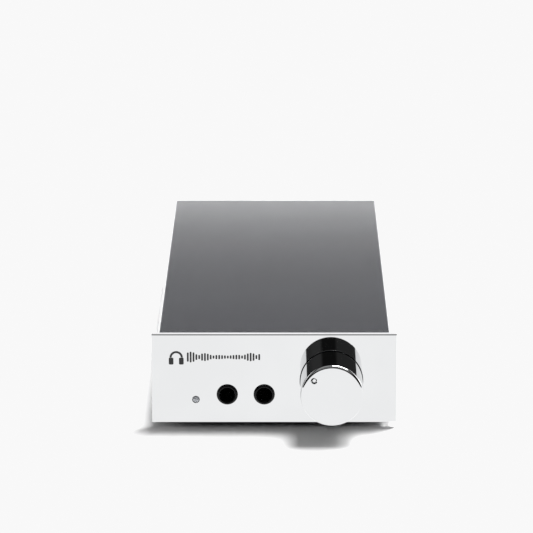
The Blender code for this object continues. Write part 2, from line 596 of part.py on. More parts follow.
def make_power_switch(shop):
    """A rocker in a frame that snaps into the rear panel; the rocker's origin is on its pivot."""
    flange_front, face = CASE_DEPTH + FIT / 2, CASE_DEPTH + 1.9 * MM
    body_back, well_floor = CASE_DEPTH - 14 * MM, CASE_DEPTH - 9 * MM
    body_half_x, body_half_z, wall = 6.5 * MM, 9.5 * MM, 1 * MM
    bm = bmesh.new()
    add_prism(bm, rounded_rectangle(15 * MM, 21 * MM, 1 * MM), "Y", flange_front, face)
    frame = shop.add("power_switch_frame", bm, "black_plastic", (SWITCH_X, 0, CASE_MIDDLE_Z))
    body = bmesh.new()
    add_block(body, (-body_half_x, body_back, -body_half_z), (body_half_x, face - wall, body_half_z))
    shop.combine(frame, "UNION", body)
    well_x, well_z = body_half_x - wall, body_half_z - wall
    well = bmesh.new()
    add_block(well, (-well_x, well_floor, -well_z), (well_x, face + wall, well_z))
    shop.combine(frame, "DIFFERENCE", well)
    half_height, edge_out, waist_out, middle_out = 7.4 * MM, 4 * MM, 2.9 * MM, 2.5 * MM
    keel_half, keel_in, edge_in = 3 * MM, -2.5 * MM, 0.3 * MM
    upper = [(edge_out, half_height), (edge_in, half_height), (keel_in, keel_half)]
    lower = [(y, -z) for y, z in reversed(upper)]
    hollow_face = [(waist_out, -half_height / 2), (middle_out, 0), (waist_out, half_height / 2)]
    bm = bmesh.new()
    add_prism(bm, [*upper, *lower, *hollow_face], "X", GAP - well_x, well_x - GAP)
    pivot = (SWITCH_X, SWITCH_PIVOT_Y, CASE_MIDDLE_Z)
    shop.add("power_rocker", bm, "black_plastic", pivot, SWITCH_REST_TILT)


def make_phono_sockets(shop):
    """Flanged phono sockets: a barrel that the plug slides over, with a hole for its pin."""
    seat, mouth, tail = CASE_DEPTH + FIT / 2, CASE_DEPTH + PHONO_REACH, CASE_DEPTH - 9 * MM
    shoulder, insert, bore_floor = seat + 1.8 * MM, mouth - 0.8 * MM, mouth - 8 * MM
    body_radius, flange_radius, barrel_radius, wall = 3.5 * MM, 5.6 * MM, 4.15 * MM, 0.95 * MM
    pin_hole_radius, edge = 1.65 * MM, 0.4 * MM
    profile = [(tail, 0), (tail, body_radius), (seat, body_radius), (seat, flange_radius),
               (shoulder, flange_radius), (shoulder, barrel_radius), (mouth - edge, barrel_radius),
               (mouth, barrel_radius - edge), (mouth, barrel_radius - wall), (insert, barrel_radius - wall),
               (insert, pin_hole_radius), (bore_floor, pin_hole_radius), (bore_floor, 0)]
    for use, x in PHONO_XS.items():
        for channel, z in PHONO_ZS.items():
            bm = bmesh.new()
            add_turned(bm, profile, "Y", segments=20)
            shop.add(f"phono_{use}_{channel}", bm, "gold", (x, 0, z))


# The gain switches under the case

def make_gain_switches(shop):
    """A block of small slide switches on the board's underside, reached through the tray's floor."""
    face, top = CASE_BOTTOM + GAP, BOARD_UNDERSIDE - FIT
    half_x, half_y = (size / 2 for size in GAIN_BLOCK)
    bm = bmesh.new()
    add_block(bm, (-half_x, -half_y, face), (half_x, half_y, top))
    block = shop.add("gain_switch_block", bm, "red_plastic", (0, GAIN_Y, 0))
    slots = bmesh.new()
    half_key, key_length, key_rise = 0.55 * MM, 1.3 * MM, 0.5 * MM
    clearance, slot_depth = 0.15 * MM, 1.6 * MM
    key_start = -(key_length + GAIN_TRAVEL) / 2
    slot_x, slot_y = half_key + clearance, clearance - key_start
    for number in range(GAIN_COUNT):
        x = (number - (GAIN_COUNT - 1) / 2) * GAIN_PITCH
        add_block(slots, (x - slot_x, -slot_y, face - SHEET), (x + slot_x, slot_y, face + slot_depth))
        bm = bmesh.new()
        high = (half_key, key_start + key_length, face + slot_depth - clearance)
        add_block(bm, (-half_key, key_start, face - key_rise), high)
        shop.add(f"gain_slider_{number + 1}", bm, "white_plastic", (x, GAIN_Y, 0))
    shop.combine(block, "DIFFERENCE", slots)


def main():
    for old in list(bpy.data.objects):
        bpy.data.objects.remove(old, do_unlink=True)
    shop = Workshop()
    make_front_panel(shop)
    make_chassis_tray(shop)
    make_top_cover(shop)
    make_rear_panel(shop)
    make_feet(shop)
    make_casing_screws(shop)
    make_volume_knob(shop)
    make_grub_screw(shop)
    make_potentiometer(shop)
    make_headphone_jacks(shop)
    make_power_lamp(shop)
    make_main_board(shop)
    make_board_fixings(shop)
    make_power_supply(shop)
    make_heatsinks(shop)
    make_mains_inlet(shop)
    make_power_switch(shop)
    make_phono_sockets(shop)
    make_gain_switches(shop)


main()
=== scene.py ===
"""The looks of a desktop headphone amplifier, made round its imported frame.

Every piece is made where it belongs, in metres: x runs across the front from left to right, y runs back
through the case, and z runs up from the table. An outline is a function that gives the points of a closed
border when it is drawn in by a distance, so one outline serves a face, its eased edge and its wall.
"""

import json
import math

import bmesh
import bpy
from bpy.props import FloatProperty, FloatVectorProperty, IntProperty, PointerProperty
from mathutils import Matrix, Vector

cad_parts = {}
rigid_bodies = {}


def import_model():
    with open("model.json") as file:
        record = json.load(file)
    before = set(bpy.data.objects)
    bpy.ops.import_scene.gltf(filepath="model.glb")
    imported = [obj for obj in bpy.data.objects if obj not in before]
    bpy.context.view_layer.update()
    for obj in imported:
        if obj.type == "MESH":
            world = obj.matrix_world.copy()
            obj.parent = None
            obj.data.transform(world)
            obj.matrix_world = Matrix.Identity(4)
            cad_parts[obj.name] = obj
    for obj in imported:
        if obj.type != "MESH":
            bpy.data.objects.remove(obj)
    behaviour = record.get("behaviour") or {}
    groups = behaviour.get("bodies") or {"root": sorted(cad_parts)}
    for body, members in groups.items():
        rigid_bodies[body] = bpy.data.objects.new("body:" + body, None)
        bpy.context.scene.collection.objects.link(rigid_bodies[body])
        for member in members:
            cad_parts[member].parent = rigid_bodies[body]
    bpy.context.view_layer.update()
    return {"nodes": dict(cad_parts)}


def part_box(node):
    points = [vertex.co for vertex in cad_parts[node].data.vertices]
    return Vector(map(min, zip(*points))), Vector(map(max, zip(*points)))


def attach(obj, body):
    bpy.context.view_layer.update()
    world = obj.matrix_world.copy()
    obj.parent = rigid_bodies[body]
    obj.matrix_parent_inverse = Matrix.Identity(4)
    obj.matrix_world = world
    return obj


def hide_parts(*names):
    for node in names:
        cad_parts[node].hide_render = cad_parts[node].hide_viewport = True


bl_info = {
    "name": "Headphone Amplifier",
    "version": (1, 0, 0),
    "blender": (4, 5, 0),
    "location": "View3D > Sidebar > Amplifier",
    "description": "Makes the shown pieces of a desktop headphone amplifier and a small studio round it",
    "category": "Object",
}

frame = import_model()

MM = 0.001
SMALLEST_FILLET = 0.002 * MM
SMOOTH_BELOW = math.radians(32)


# Where the frame has its parts

def middle(low, high):
    return (low + high) / 2


def centre_of(node):
    return middle(*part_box(node))


def across(point):
    """A point as it is seen from the front."""
    return point.x, point.z


def numbered(name):
    return [f"{name}_{number}" for number in range(1, 5)]


PANEL_LOW, PANEL_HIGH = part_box("front_panel")
COVER_LOW, COVER_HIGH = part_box("top_cover")
TRAY_LOW, TRAY_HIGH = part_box("chassis_tray")
REAR_LOW, REAR_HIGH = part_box("rear_panel")
KNOB_LOW, KNOB_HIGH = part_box("volume_knob")
KNOB_CENTRE = centre_of("volume_knob")
KNOB_RADIUS = (KNOB_HIGH.x - KNOB_LOW.x) / 2
LAMP_LOW, LAMP_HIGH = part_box("power_lamp")
LAMP_COLLAR_RADIUS = 1.9 * MM
THREAD_RADIUS = 1.4 * MM
SHEET = REAR_HIGH.y - REAR_LOW.y
CASE_MIDDLE_Z = (COVER_LOW.z + COVER_HIGH.z) / 2
CASE_BACK = REAR_HIGH.y
PHONO_SOCKETS = ("input_left", "input_right", "output_left", "output_right")


# Settings

def length(name, description, default):
    return FloatProperty(name=name, description=description, default=default, min=0.0,
                         precision=5, subtype="DISTANCE", unit="LENGTH")


def angle(name, description, default):
    return FloatProperty(name=name, description=description, default=math.radians(default),
                         subtype="ANGLE", unit="ROTATION")


def share(name, description, default):
    return FloatProperty(name=name, description=description, default=default, min=0.0, max=1.0,
                         subtype="FACTOR")


def strength(name, description, default):
    return FloatProperty(name=name, description=description, default=default, min=0.0)


def colour(name, description, default):
    return FloatVectorProperty(name=name, description=description, default=default, size=3,
                               min=0.0, max=1.0, subtype="COLOR")


def aim(name, description, default):
    return FloatVectorProperty(name=name, description=description, default=default, size=3,
                               subtype="DIRECTION")


def position(name, description, default):
    return FloatVectorProperty(name=name, description=description, default=default, size=3, precision=5,
                               subtype="TRANSLATION", unit="LENGTH")


class AmplifierSizes(bpy.types.PropertyGroup):
    """Sizes of the details that the frame leaves plain."""

    panel_chamfer: length("Panel chamfer", "Bevel round the front panel's face", 0.5 * MM)
    hole_ease: length("Hole ease", "Rounding of the mouths of holes in metal", 0.15 * MM)
    sheet_ease: length("Sheet ease", "Rounding of the cut edges of sheet metal", 0.2 * MM)
    bend_radius: length("Bend radius", "Outside radius of the cover's folds", 2 * MM)
    knob_edge: length("Knob edge", "Radius of the knob's front edge", 1.3 * MM)
    knob_chamfer: length("Knob chamfer", "Depth of the chamfer on the knob's back edge", 0.6 * MM)
    knob_opening: length("Knob opening", "Radius of the opening that the knob's neck turns in", 14.15 * MM)
    knob_gap: length("Knob gap", "Between the knob's back edge and the panel", 0.3 * MM)
    pointer_reach: length("Pointer reach", "From the knob's centre to its pointer", 10.5 * MM)
    pointer_radius: length("Pointer radius", "Radius of the drilled pointer's rim", 1.35 * MM)
    pointer_depth: length("Pointer depth", "Depth of the drilled pointer", 0.6 * MM)
    pointer_angle: angle("Pointer angle", "Where the pointer rests, anticlockwise from the top", 49)
    mark_rise: length("Mark rise", "Thickness of the printed marks", 0.03 * MM)
    round_segments: IntProperty(name="Round segments", description="Sides of a large round shape",
                                default=160, min=24, max=512)


class AmplifierColours(bpy.types.PropertyGroup):
    """Colours of the finishes."""

    chrome: colour("Chrome", "Polished front panel and knob", (0.56, 0.565, 0.57))
    shell: colour("Shell", "Powder coat on the case", (0.011, 0.012, 0.017))
    rubber: colour("Rubber", "Feet", (0.018, 0.018, 0.019))
    jack: colour("Jack", "Headphone jack bushes", (0.006, 0.006, 0.007))
    lamp: colour("Lamp", "Power lamp's resin", (0.2, 0.205, 0.215))
    ink: colour("Ink", "Marks printed on the panels", (0.008, 0.008, 0.009))
    gold: colour("Gold", "Phono sockets", (0.86, 0.61, 0.27))
    right_channel: colour("Right channel", "Insulators of the right sockets", (0.42, 0.018, 0.014))
    left_channel: colour("Left channel", "Insulators of the left sockets", (0.72, 0.71, 0.68))


class AmplifierStudio(bpy.types.PropertyGroup):
    """Lights, floor and camera."""

    key_strength: strength("Key strength", "Strength of the key light", 2.2)
    overhead_strength: strength("Overhead strength", "Strength of the light overhead", 3.0)
    overhead_spread: angle("Overhead spread", "Width of the overhead light seen from the case", 20)
    overhead_direction: aim("Overhead direction", "Where the overhead light stands", (0.2, 0.27, 1.0))
    key_spread: angle("Key spread", "Width of the key light seen from the case", 27)
    key_direction: aim("Key direction", "Where the key light stands", (0.5, 0.3, 1.0))
    room_strength: strength("Room strength", "Brightness of the pale room", 1.9)
    strip_place: position("Strip place", "Middle of the low strip light", (0.0, 0.9, 0.11))
    strip_width: length("Strip width", "Width of the low strip light", 2.4)
    strip_strength: strength("Strip strength", "Power of the low strip light behind the case", 7.4)
    floor_white: share("Floor white", "Paleness of the floor", 0.9)
    floor_glow: strength("Floor glow", "Brightness of the floor as polished metal mirrors it", 1.45)
    paper_white: share("Paper white", "Brightest level that the camera shows", 0.94)
    lens: FloatProperty(name="Lens", description="Focal length in millimetres", default=221.4, min=1.0,
                        subtype="DISTANCE_CAMERA", unit="CAMERA")
    camera_pitch: angle("Camera pitch", "How far the camera looks down", 15.38)
    camera_place: position("Camera place", "Where the camera stands", (0.00444, -1.5222, 0.46196))
    camera_shift: FloatProperty(name="Camera shift", description="Sideways shift of the camera's view",
                                default=-0.033, precision=4)


# Outlines and paths. Points are pairs across an axis, in X, Y, Z order.

# How many sides a round shape has, by how large it is and how closely it shows
HOLE_SIDES = 32
SCREW_SIDES = 36
SMALL_SIDES = 48
TURNED_SIDES = 64
BUSH_SIDES = 96


def filleted(points, steps=6, closed=False):
    """A path through (a, b, fillet radius) points, with each corner rounded by its own radius."""
    path = []
    for i, (a, b, radius) in enumerate(points):
        at_an_end = not closed and i in (0, len(points) - 1)
        if radius == 0 or at_an_end:
            path.append((a, b))
            continue
        here = Vector((a, b))
        to_last = (Vector(points[i - 1][:2]) - here).normalized()
        to_next = (Vector(points[(i + 1) % len(points)][:2]) - here).normalized()
        half_corner = to_last.angle(to_next) / 2
        centre = here + (to_last + to_next).normalized() * radius / math.sin(half_corner)
        first = here + to_last * radius / math.tan(half_corner) - centre
        last = here + to_next * radius / math.tan(half_corner) - centre
        begin = math.atan2(first.y, first.x)
        turn = math.remainder(math.atan2(last.y, last.x) - begin, math.tau)
        for step in range(steps + 1):
            bearing = begin + turn * step / steps
            path.append((centre.x + radius * math.cos(bearing), centre.y + radius * math.sin(bearing)))
    return path


def outline(points, steps=6):
    """The outline through anticlockwise (a, b, fillet radius) corners."""
    def drawn_in(inset=0.0):
        corners = []
        for i, (a, b, radius) in enumerate(points):
            here = Vector((a, b))
            before = (here - Vector(points[i - 1][:2])).normalized()
            after = (Vector(points[(i + 1) % len(points)][:2]) - here).normalized()
            inwards = Vector((-before.y - after.y, before.x + after.x))
            place = here + inwards * inset / (1 + before.dot(after))
            is_outer_corner = before.cross(after) > 0
            new_radius = radius - inset if is_outer_corner else radius + inset
            corners.append((*place, max(new_radius, SMALLEST_FILLET) if radius else 0))
        return filleted(corners, steps, closed=True)
    return drawn_in


def rounded_box(low, high, radius, steps=6):
    corners = ((low[0], low[1]), (high[0], low[1]), (high[0], high[1]), (low[0], high[1]))
    return outline([(a, b, radius) for a, b in corners], steps)


def centred_box(centre, half_a, half_b, radius, steps=6):
    a, b = centre
    return rounded_box((a - half_a, b - half_b), (a + half_a, b + half_b), radius, steps)


def clipped_box(low, high, cut, foot_radius, top_radius):
    """The front view of a box whose two top corners are cut off."""
    return outline([(low.x, low.z, foot_radius), (high.x, low.z, foot_radius),
                    (high.x, high.z - cut, top_radius), (high.x - cut, high.z, top_radius),
                    (low.x + cut, high.z, top_radius), (low.x, high.z - cut, top_radius)])


def corner_cut(sizes):
    """How much is cut off a corner that fits inside the cover's bend."""
    return sizes.bend_radius - SHEET - 0.2 * MM


def circle(centre, radius, segments=TURNED_SIDES):
    def drawn_in(inset=0.0):
        bearings = [math.tau * i / segments for i in range(segments)]
        reach = radius - inset
        return [(centre[0] + reach * math.cos(t), centre[1] + reach * math.sin(t)) for t in bearings]
    return drawn_in


def eased(start, end, ease, steps=3):
    """(along, inset) steps from face to face of a slab with both its edges rounded."""
    quarter = [math.pi / 2 * i / steps for i in range(steps + 1)]
    edge = [(ease * (1 - math.cos(t)), ease * (1 - math.sin(t))) for t in quarter]
    return [(start + a, inset) for a, inset in edge] + [(end - a, inset) for a, inset in reversed(edge)]


def flared(steps):
    """The steps of a hole, whose mouths widen where a slab's edges draw in."""
    return [(along, -inset) for along, inset in steps]


def on_axis(axis, along, a, b):
    return Vector({"X": (along, a, b), "Y": (a, along, b), "Z": (a, b, along)}[axis])


# Shapes

class Blank:
    """A closed shape in the making: walls between loops of points, with flat faces to close them."""

    def __init__(self):
        self.bm = bmesh.new()

    def loop(self, points):
        return [self.bm.verts.new(point) for point in points]

    def wall(self, *loops):
        """Quads from each loop to the next, which has as many points."""
        for near, far in zip(loops, loops[1:]):
            for i in range(len(near)):
                self.bm.faces.new((near[i - 1], near[i], far[i], far[i - 1]))

    def fill(self, *loops):
        """A flat face inside the first loop and outside the others."""
        edges = []
        for loop in loops:
            for i in range(len(loop)):
                pair = (loop[i - 1], loop[i])
                edges.append(self.bm.edges.get(pair) or self.bm.edges.new(pair))
        bmesh.ops.triangle_fill(self.bm, use_beauty=True, edges=edges)

    def sweep(self, border, steps, axis="Y"):
        """Walls through a border's loops at each (along, inset) step."""
        loops = [self.loop([on_axis(axis, along, a, b) for a, b in border(inset)])
                 for along, inset in steps]
        self.wall(*loops)
        return loops

    def slab(self, border, steps, axis="Y", holes=()):
        """A swept border with both ends closed. A hole that stops short of a face gets a floor."""
        loops = self.sweep(border, steps, axis)
        starts, ends = [loops[0]], [loops[-1]]
        for hole, hole_steps in holes:
            loops = self.sweep(hole, hole_steps, axis)
            for face, along, last, rim in ((starts, steps[0][0], hole_steps[0][0], loops[0]),
                                           (ends, steps[-1][0], hole_steps[-1][0], loops[-1])):
                if abs(along - last) < SMALLEST_FILLET:
                    face.append(rim)
                else:
                    self.fill(rim)
        self.fill(*starts)
        self.fill(*ends)

    def turn(self, profile, axis="Y", centre=(0, 0), segments=TURNED_SIDES):
        """Walls spun through (along, radius) points round an axis."""
        return self.sweep(circle(centre, 0, segments), [(along, -radius) for along, radius in profile], axis)

    def turned(self, profile, axis="Y", centre=(0, 0), segments=TURNED_SIDES):
        """A turned solid with flat ends."""
        loops = self.turn(profile, axis, centre, segments)
        self.fill(loops[0])
        self.fill(loops[-1])

    def turned_ring(self, profile, axis="Y", centre=(0, 0), segments=TURNED_SIDES):
        """A turned solid whose profile closes on itself."""
        loops = self.turn(profile, axis, centre, segments)
        self.wall(loops[-1], loops[0])

    def carve(self, other, operation="DIFFERENCE"):
        """Cuts another shape out of this one, or joins it on."""
        made = []
        for bm in (self.bm, other.bm):
            bmesh.ops.recalc_face_normals(bm, faces=bm.faces)
            mesh = bpy.data.meshes.new("carving")
            bm.to_mesh(mesh)
            bm.free()
            made.append(bpy.data.objects.new("carving", mesh))
            bpy.context.scene.collection.objects.link(made[-1])
        boolean = made[0].modifiers.new("Carve", "BOOLEAN")
        boolean.operation = operation
        boolean.solver = "EXACT"
        boolean.object = made[1]
        self.bm = bmesh.new()
        self.bm.from_object(made[0], bpy.context.evaluated_depsgraph_get())
        for helper in made:
            mesh = helper.data
            bpy.data.objects.remove(helper)
            bpy.data.meshes.remove(mesh)

    def place(self, matrix):
        self.bm.transform(matrix)

    def piece(self, name, body, material, replaces=()):
        """The finished piece, riding on its body."""
        bmesh.ops.recalc_face_normals(self.bm, faces=self.bm.faces)
        mesh = bpy.data.meshes.new(name)
        self.bm.to_mesh(mesh)
        self.bm.free()
        mesh.shade_smooth()
        mesh.set_sharp_from_angle(angle=SMOOTH_BELOW)
        mesh.materials.append(material)
        made = bpy.data.objects.new(name, mesh)
        bpy.context.scene.collection.objects.link(made)
        shading = made.modifiers.new("Flat faces stay flat", "WEIGHTED_NORMAL")
        shading.keep_sharp = True
        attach(made, body)
        if replaces:
            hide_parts(*replaces)
        return made


# Shared surface effects, as shader node groups

def add_node(tree, kind, inputs=None, **settings):
    """A node with its settings; an input is a value or another node's output."""
    made = tree.nodes.new(kind)
    for name, value in settings.items():
        setattr(made, name, value)
    for name, value in (inputs or {}).items():
        if isinstance(value, bpy.types.NodeSocket):
            tree.links.new(value, made.inputs[name])
        else:
            made.inputs[name].default_value = value
    return made


def math_node(tree, operation, *values, clamp=False):
    made = add_node(tree, "ShaderNodeMath", dict(enumerate(values)), operation=operation, use_clamp=clamp)
    return made.outputs[0]


def remap(tree, value, from_low, from_high, to_low=0.0, to_high=1.0, easing="SMOOTHSTEP"):
    inputs = {"Value": value, "From Min": from_low, "From Max": from_high,
              "To Min": to_low, "To Max": to_high}
    return add_node(tree, "ShaderNodeMapRange", inputs, interpolation_type=easing).outputs["Result"]


def noise(tree, place, scale, detail=3.0, roughness=0.5):
    inputs = {"Vector": place, "Scale": scale, "Detail": detail, "Roughness": roughness}
    return add_node(tree, "ShaderNodeTexNoise", inputs).outputs["Fac"]


def new_group(name, inputs, outputs):
    """An empty group with its sockets. Returns its tree, its inputs and its output node."""
    tree = bpy.data.node_groups.new(name, "ShaderNodeTree")
    for socket, (kind, default) in inputs.items():
        made = tree.interface.new_socket(socket, in_out="INPUT", socket_type=kind)
        made.default_value = default
    for socket, kind in outputs.items():
        tree.interface.new_socket(socket, in_out="OUTPUT", socket_type=kind)
    return tree, tree.nodes.new("NodeGroupInput").outputs, tree.nodes.new("NodeGroupOutput").inputs


def object_place(tree):
    return tree.nodes.new("ShaderNodeTexCoord").outputs["Object"]


def make_colour_drift():
    """Lets a colour wander a little lighter and darker over the surface."""
    sockets = {"Colour": ("NodeSocketColor", (0.5, 0.5, 0.5, 1.0)), "Drift": ("NodeSocketFloat", 0.1),
               "Scale": ("NodeSocketFloat", 60.0)}
    tree, given, result = new_group("Colour drift", sockets, {"Colour": "NodeSocketColor"})
    cloud = remap(tree, noise(tree, object_place(tree), given["Scale"], detail=4.0), 0.3, 0.7, -1.0, 1.0)
    gain = math_node(tree, "ADD", math_node(tree, "MULTIPLY", cloud, given["Drift"]), 1.0)
    scaled = add_node(tree, "ShaderNodeVectorMath", {0: given["Colour"], "Scale": gain}, operation="SCALE")
    tree.links.new(scaled.outputs["Vector"], result["Colour"])


def make_handling_marks():
    """A roughness between clean and handled, in soft smears and small spots."""
    sockets = {"Clean": ("NodeSocketFloat", 0.2), "Handled": ("NodeSocketFloat", 0.4),
               "Scale": ("NodeSocketFloat", 40.0)}
    tree, given, result = new_group("Handling marks", sockets, {"Roughness": "NodeSocketFloat"})
    place = object_place(tree)
    spots_per_smear = 9.0
    smears = remap(tree, noise(tree, place, given["Scale"], detail=5.0, roughness=0.6), 0.42, 0.68)
    finer = math_node(tree, "MULTIPLY", given["Scale"], spots_per_smear)
    spots = remap(tree, noise(tree, place, finer, detail=2.0), 0.35, 0.75, 0.4, 1.0)
    mask = math_node(tree, "MULTIPLY", smears, spots)
    roughness = remap(tree, mask, 0.0, 1.0, given["Clean"], given["Handled"], "LINEAR")
    tree.links.new(roughness, result["Roughness"])


def make_grain():
    """A fine even grain: pebbles with a little noise on them."""
    sockets = {"Scale": ("NodeSocketFloat", 3000.0), "Pebbles": ("NodeSocketFloat", 0.5)}
    tree, given, result = new_group("Grain", sockets, {"Height": "NodeSocketFloat"})
    place = object_place(tree)
    cells = add_node(tree, "ShaderNodeTexVoronoi", {"Vector": place, "Scale": given["Scale"]},
                     feature="SMOOTH_F1").outputs["Distance"]
    speckle = noise(tree, place, given["Scale"], detail=2.0)
    mix = add_node(tree, "ShaderNodeMix", {"Factor": given["Pebbles"], "A": speckle, "B": cells})
    tree.links.new(mix.outputs["Result"], result["Height"])


def make_edge_wear():
    """A mask that is bright along worn edges and broken up by noise."""
    sockets = {"Width": ("NodeSocketFloat", 0.0003), "Amount": ("NodeSocketFloat", 0.5)}
    tree, given, result = new_group("Edge wear", sockets, {"Mask": "NodeSocketFloat"})
    softened = add_node(tree, "ShaderNodeBevel", {"Radius": given["Width"]}, samples=4).outputs["Normal"]
    true_normal = tree.nodes.new("ShaderNodeNewGeometry").outputs["Normal"]
    facing = add_node(tree, "ShaderNodeVectorMath", {0: softened, 1: true_normal}, operation="DOT_PRODUCT")
    edge = remap(tree, facing.outputs["Value"], 0.98, 0.75)
    chips = noise(tree, object_place(tree), scale=900.0, detail=4.0, roughness=0.7)
    broken = remap(tree, chips, 0.45, 0.62)
    worn = math_node(tree, "MULTIPLY", edge, broken)
    mask = math_node(tree, "MULTIPLY", worn, given["Amount"], clamp=True)
    tree.links.new(mask, result["Mask"])


def make_settled_dust():
    """A mask that is bright where fine dust lies on faces that look up."""
    sockets = {"Amount": ("NodeSocketFloat", 0.1), "Scale": ("NodeSocketFloat", 1500.0)}
    tree, given, result = new_group("Settled dust", sockets, {"Mask": "NodeSocketFloat"})
    normal = tree.nodes.new("ShaderNodeNewGeometry").outputs["Normal"]
    up = add_node(tree, "ShaderNodeSeparateXYZ", {"Vector": normal}).outputs["Z"]
    faces_up = remap(tree, up, 0.5, 0.95)
    place = object_place(tree)
    specks = remap(tree, noise(tree, place, given["Scale"], detail=2.0), 0.62, 0.74)
    drifts = remap(tree, noise(tree, place, scale=25.0, detail=4.0), 0.3, 0.7, 0.3, 1.0)
    lying = math_node(tree, "MULTIPLY", math_node(tree, "MULTIPLY", specks, drifts), faces_up)
    tree.links.new(math_node(tree, "MULTIPLY", lying, given["Amount"], clamp=True), result["Mask"])


class Finish:
    """A material in the making, round one Principled shader."""

    def __init__(self, name, **values):
        self.material = bpy.data.materials.new(name)
        self.material.use_nodes = True
        self.tree = self.material.node_tree
        self.shader = self.tree.nodes["Principled BSDF"]
        for socket, value in values.items():
            self.shader.inputs[socket.replace("_", " ")].default_value = value

    def group(self, name, **inputs):
        values = {socket.replace("_", " "): value for socket, value in inputs.items()}
        made = self.tree.nodes.new("ShaderNodeGroup")
        made.node_tree = bpy.data.node_groups[name]
        for socket, value in values.items():
            if isinstance(value, bpy.types.NodeSocket):
                self.tree.links.new(value, made.inputs[socket])
            else:
                made.inputs[socket].default_value = value
        return made.outputs[0]

    def feed(self, value, socket):
        self.tree.links.new(value, self.shader.inputs[socket])

    def coloured(self, base, drift=0.08, scale=60.0, wear=None, dust=None):
        """Base colour, with bare metal at worn edges and pale dust where they are asked for."""
        shade = self.group("Colour drift", Colour=(*base, 1.0), Drift=drift, Scale=scale)
        if wear:
            worn_colour, width, amount = wear
            mask = self.group("Edge wear", Width=width, Amount=amount)
            shade = self.mixed(mask, shade, worn_colour)
        if dust:
            dust_colour, amount = dust
            shade = self.mixed(self.group("Settled dust", Amount=amount), shade, dust_colour)
        self.feed(shade, "Base Color")
        return self

    def mixed(self, mask, under, over):
        made = self.tree.nodes.new("ShaderNodeMix")
        made.data_type = "RGBA"
        colour_a, colour_b = (s for s in made.inputs if s.type == "RGBA")
        self.tree.links.new(mask, made.inputs["Factor"])
        self.tree.links.new(under, colour_a)
        colour_b.default_value = (*over, 1.0)
        return next(s for s in made.outputs if s.type == "RGBA")

    def handled(self, clean, marked, scale=40.0):
        self.feed(self.group("Handling marks", Clean=clean, Handled=marked, Scale=scale), "Roughness")
        return self

    def grained(self, scale, depth, pebbles=0.5):
        """Fine relief; depth is its height in metres."""
        height = self.group("Grain", Scale=scale, Pebbles=pebbles)
        self.bump(height, depth)
        return self

    def bump(self, height, depth):
        bump = add_node(self.tree, "ShaderNodeBump", {"Height": height, "Distance": depth})
        self.feed(bump.outputs["Normal"], "Normal")


# Finishes

BARE_STEEL = (0.35, 0.35, 0.36)
PALE_DUST = (0.45, 0.44, 0.42)


def make_polished_chrome(colours):
    finish = Finish("polished_chrome", Metallic=1.0)
    return finish.coloured(colours.chrome, drift=0.012, scale=30.0).handled(0.012, 0.035, scale=25.0)


def make_powder_coat(colours):
    finish = Finish("anthracite_powder_coat", IOR=1.5, Specular_Tint=(0.8, 0.83, 0.91, 1.0))
    finish.coloured(colours.shell, drift=0.1, scale=35.0, wear=(BARE_STEEL, 0.25 * MM, 0.2),
                    dust=(PALE_DUST, 0.04))
    return finish.handled(0.165, 0.175, scale=60.0).grained(2600.0, 0.003 * MM, pebbles=0.8)


def make_rubber(colours):
    finish = Finish("foot_rubber", Specular_IOR_Level=0.35)
    finish.coloured(colours.rubber, drift=0.25, scale=120.0, dust=(PALE_DUST, 0.3))
    return finish.handled(0.7, 0.9, scale=90.0).grained(1800.0, 0.02 * MM)


def make_zinc_steel():
    finish = Finish("zinc_plated_steel", Metallic=1.0)
    return finish.coloured((0.56, 0.57, 0.6), drift=0.12, scale=150.0).handled(0.22, 0.42, scale=140.0)


def make_black_steel():
    finish = Finish("blackened_steel", Metallic=1.0)
    finish.coloured((0.045, 0.045, 0.048), drift=0.2, scale=200.0, wear=(BARE_STEEL, 0.12 * MM, 0.6))
    return finish.handled(0.3, 0.5, scale=200.0).grained(6000.0, 0.003 * MM)


def make_jack_plastic(colours):
    finish = Finish("jack_bush_plastic", IOR=1.5, Specular_IOR_Level=0.15)
    return finish.coloured(colours.jack, drift=0.2, scale=200.0).handled(0.07, 0.14, scale=150.0)


def make_black_plastic():
    finish = Finish("moulded_black_plastic", IOR=1.5)
    finish.coloured((0.014, 0.014, 0.015), drift=0.15, scale=90.0, dust=(PALE_DUST, 0.1))
    return finish.handled(0.28, 0.42, scale=60.0).grained(3500.0, 0.006 * MM)


def make_potting():
    finish = Finish("transformer_potting", IOR=1.5)
    finish.coloured((0.02, 0.02, 0.022), drift=0.3, scale=70.0, dust=(PALE_DUST, 0.2))
    return finish.handled(0.3, 0.55, scale=50.0).grained(500.0, 0.03 * MM, pebbles=0.2)


def make_lamp_resin(colours):
    finish = Finish("lamp_resin", IOR=1.6)
    return finish.coloured(colours.lamp, drift=0.15, scale=700.0).handled(0.05, 0.1, scale=500.0)


def make_laminate():
    """Green solder resist over a glass weave, with faint copper tracks."""
    finish = Finish("board_laminate", IOR=1.5)
    tree = finish.tree
    place = object_place(tree)
    weave = add_node(tree, "ShaderNodeTexWave", {"Vector": place, "Scale": 900.0}, bands_direction="X")
    tracks = add_node(tree, "ShaderNodeTexBrick", {"Vector": place, "Scale": 90.0, "Mortar Size": 0.09})
    mask = remap(tree, tracks.outputs["Fac"], 0.2, 0.8, 0.0, 0.35)
    shade = finish.group("Colour drift", Colour=(0.012, 0.085, 0.035, 1.0), Drift=0.15)
    finish.feed(finish.mixed(mask, shade, (0.05, 0.17, 0.06)), "Base Color")
    finish.bump(weave.outputs["Fac"], 0.004 * MM)
    return finish.handled(0.25, 0.4)


def make_potentiometer_case():
    finish = Finish("potentiometer_case", IOR=1.5)
    finish.coloured((0.02, 0.07, 0.32), drift=0.15, scale=120.0)
    return finish.handled(0.3, 0.5).grained(2500.0, 0.008 * MM)


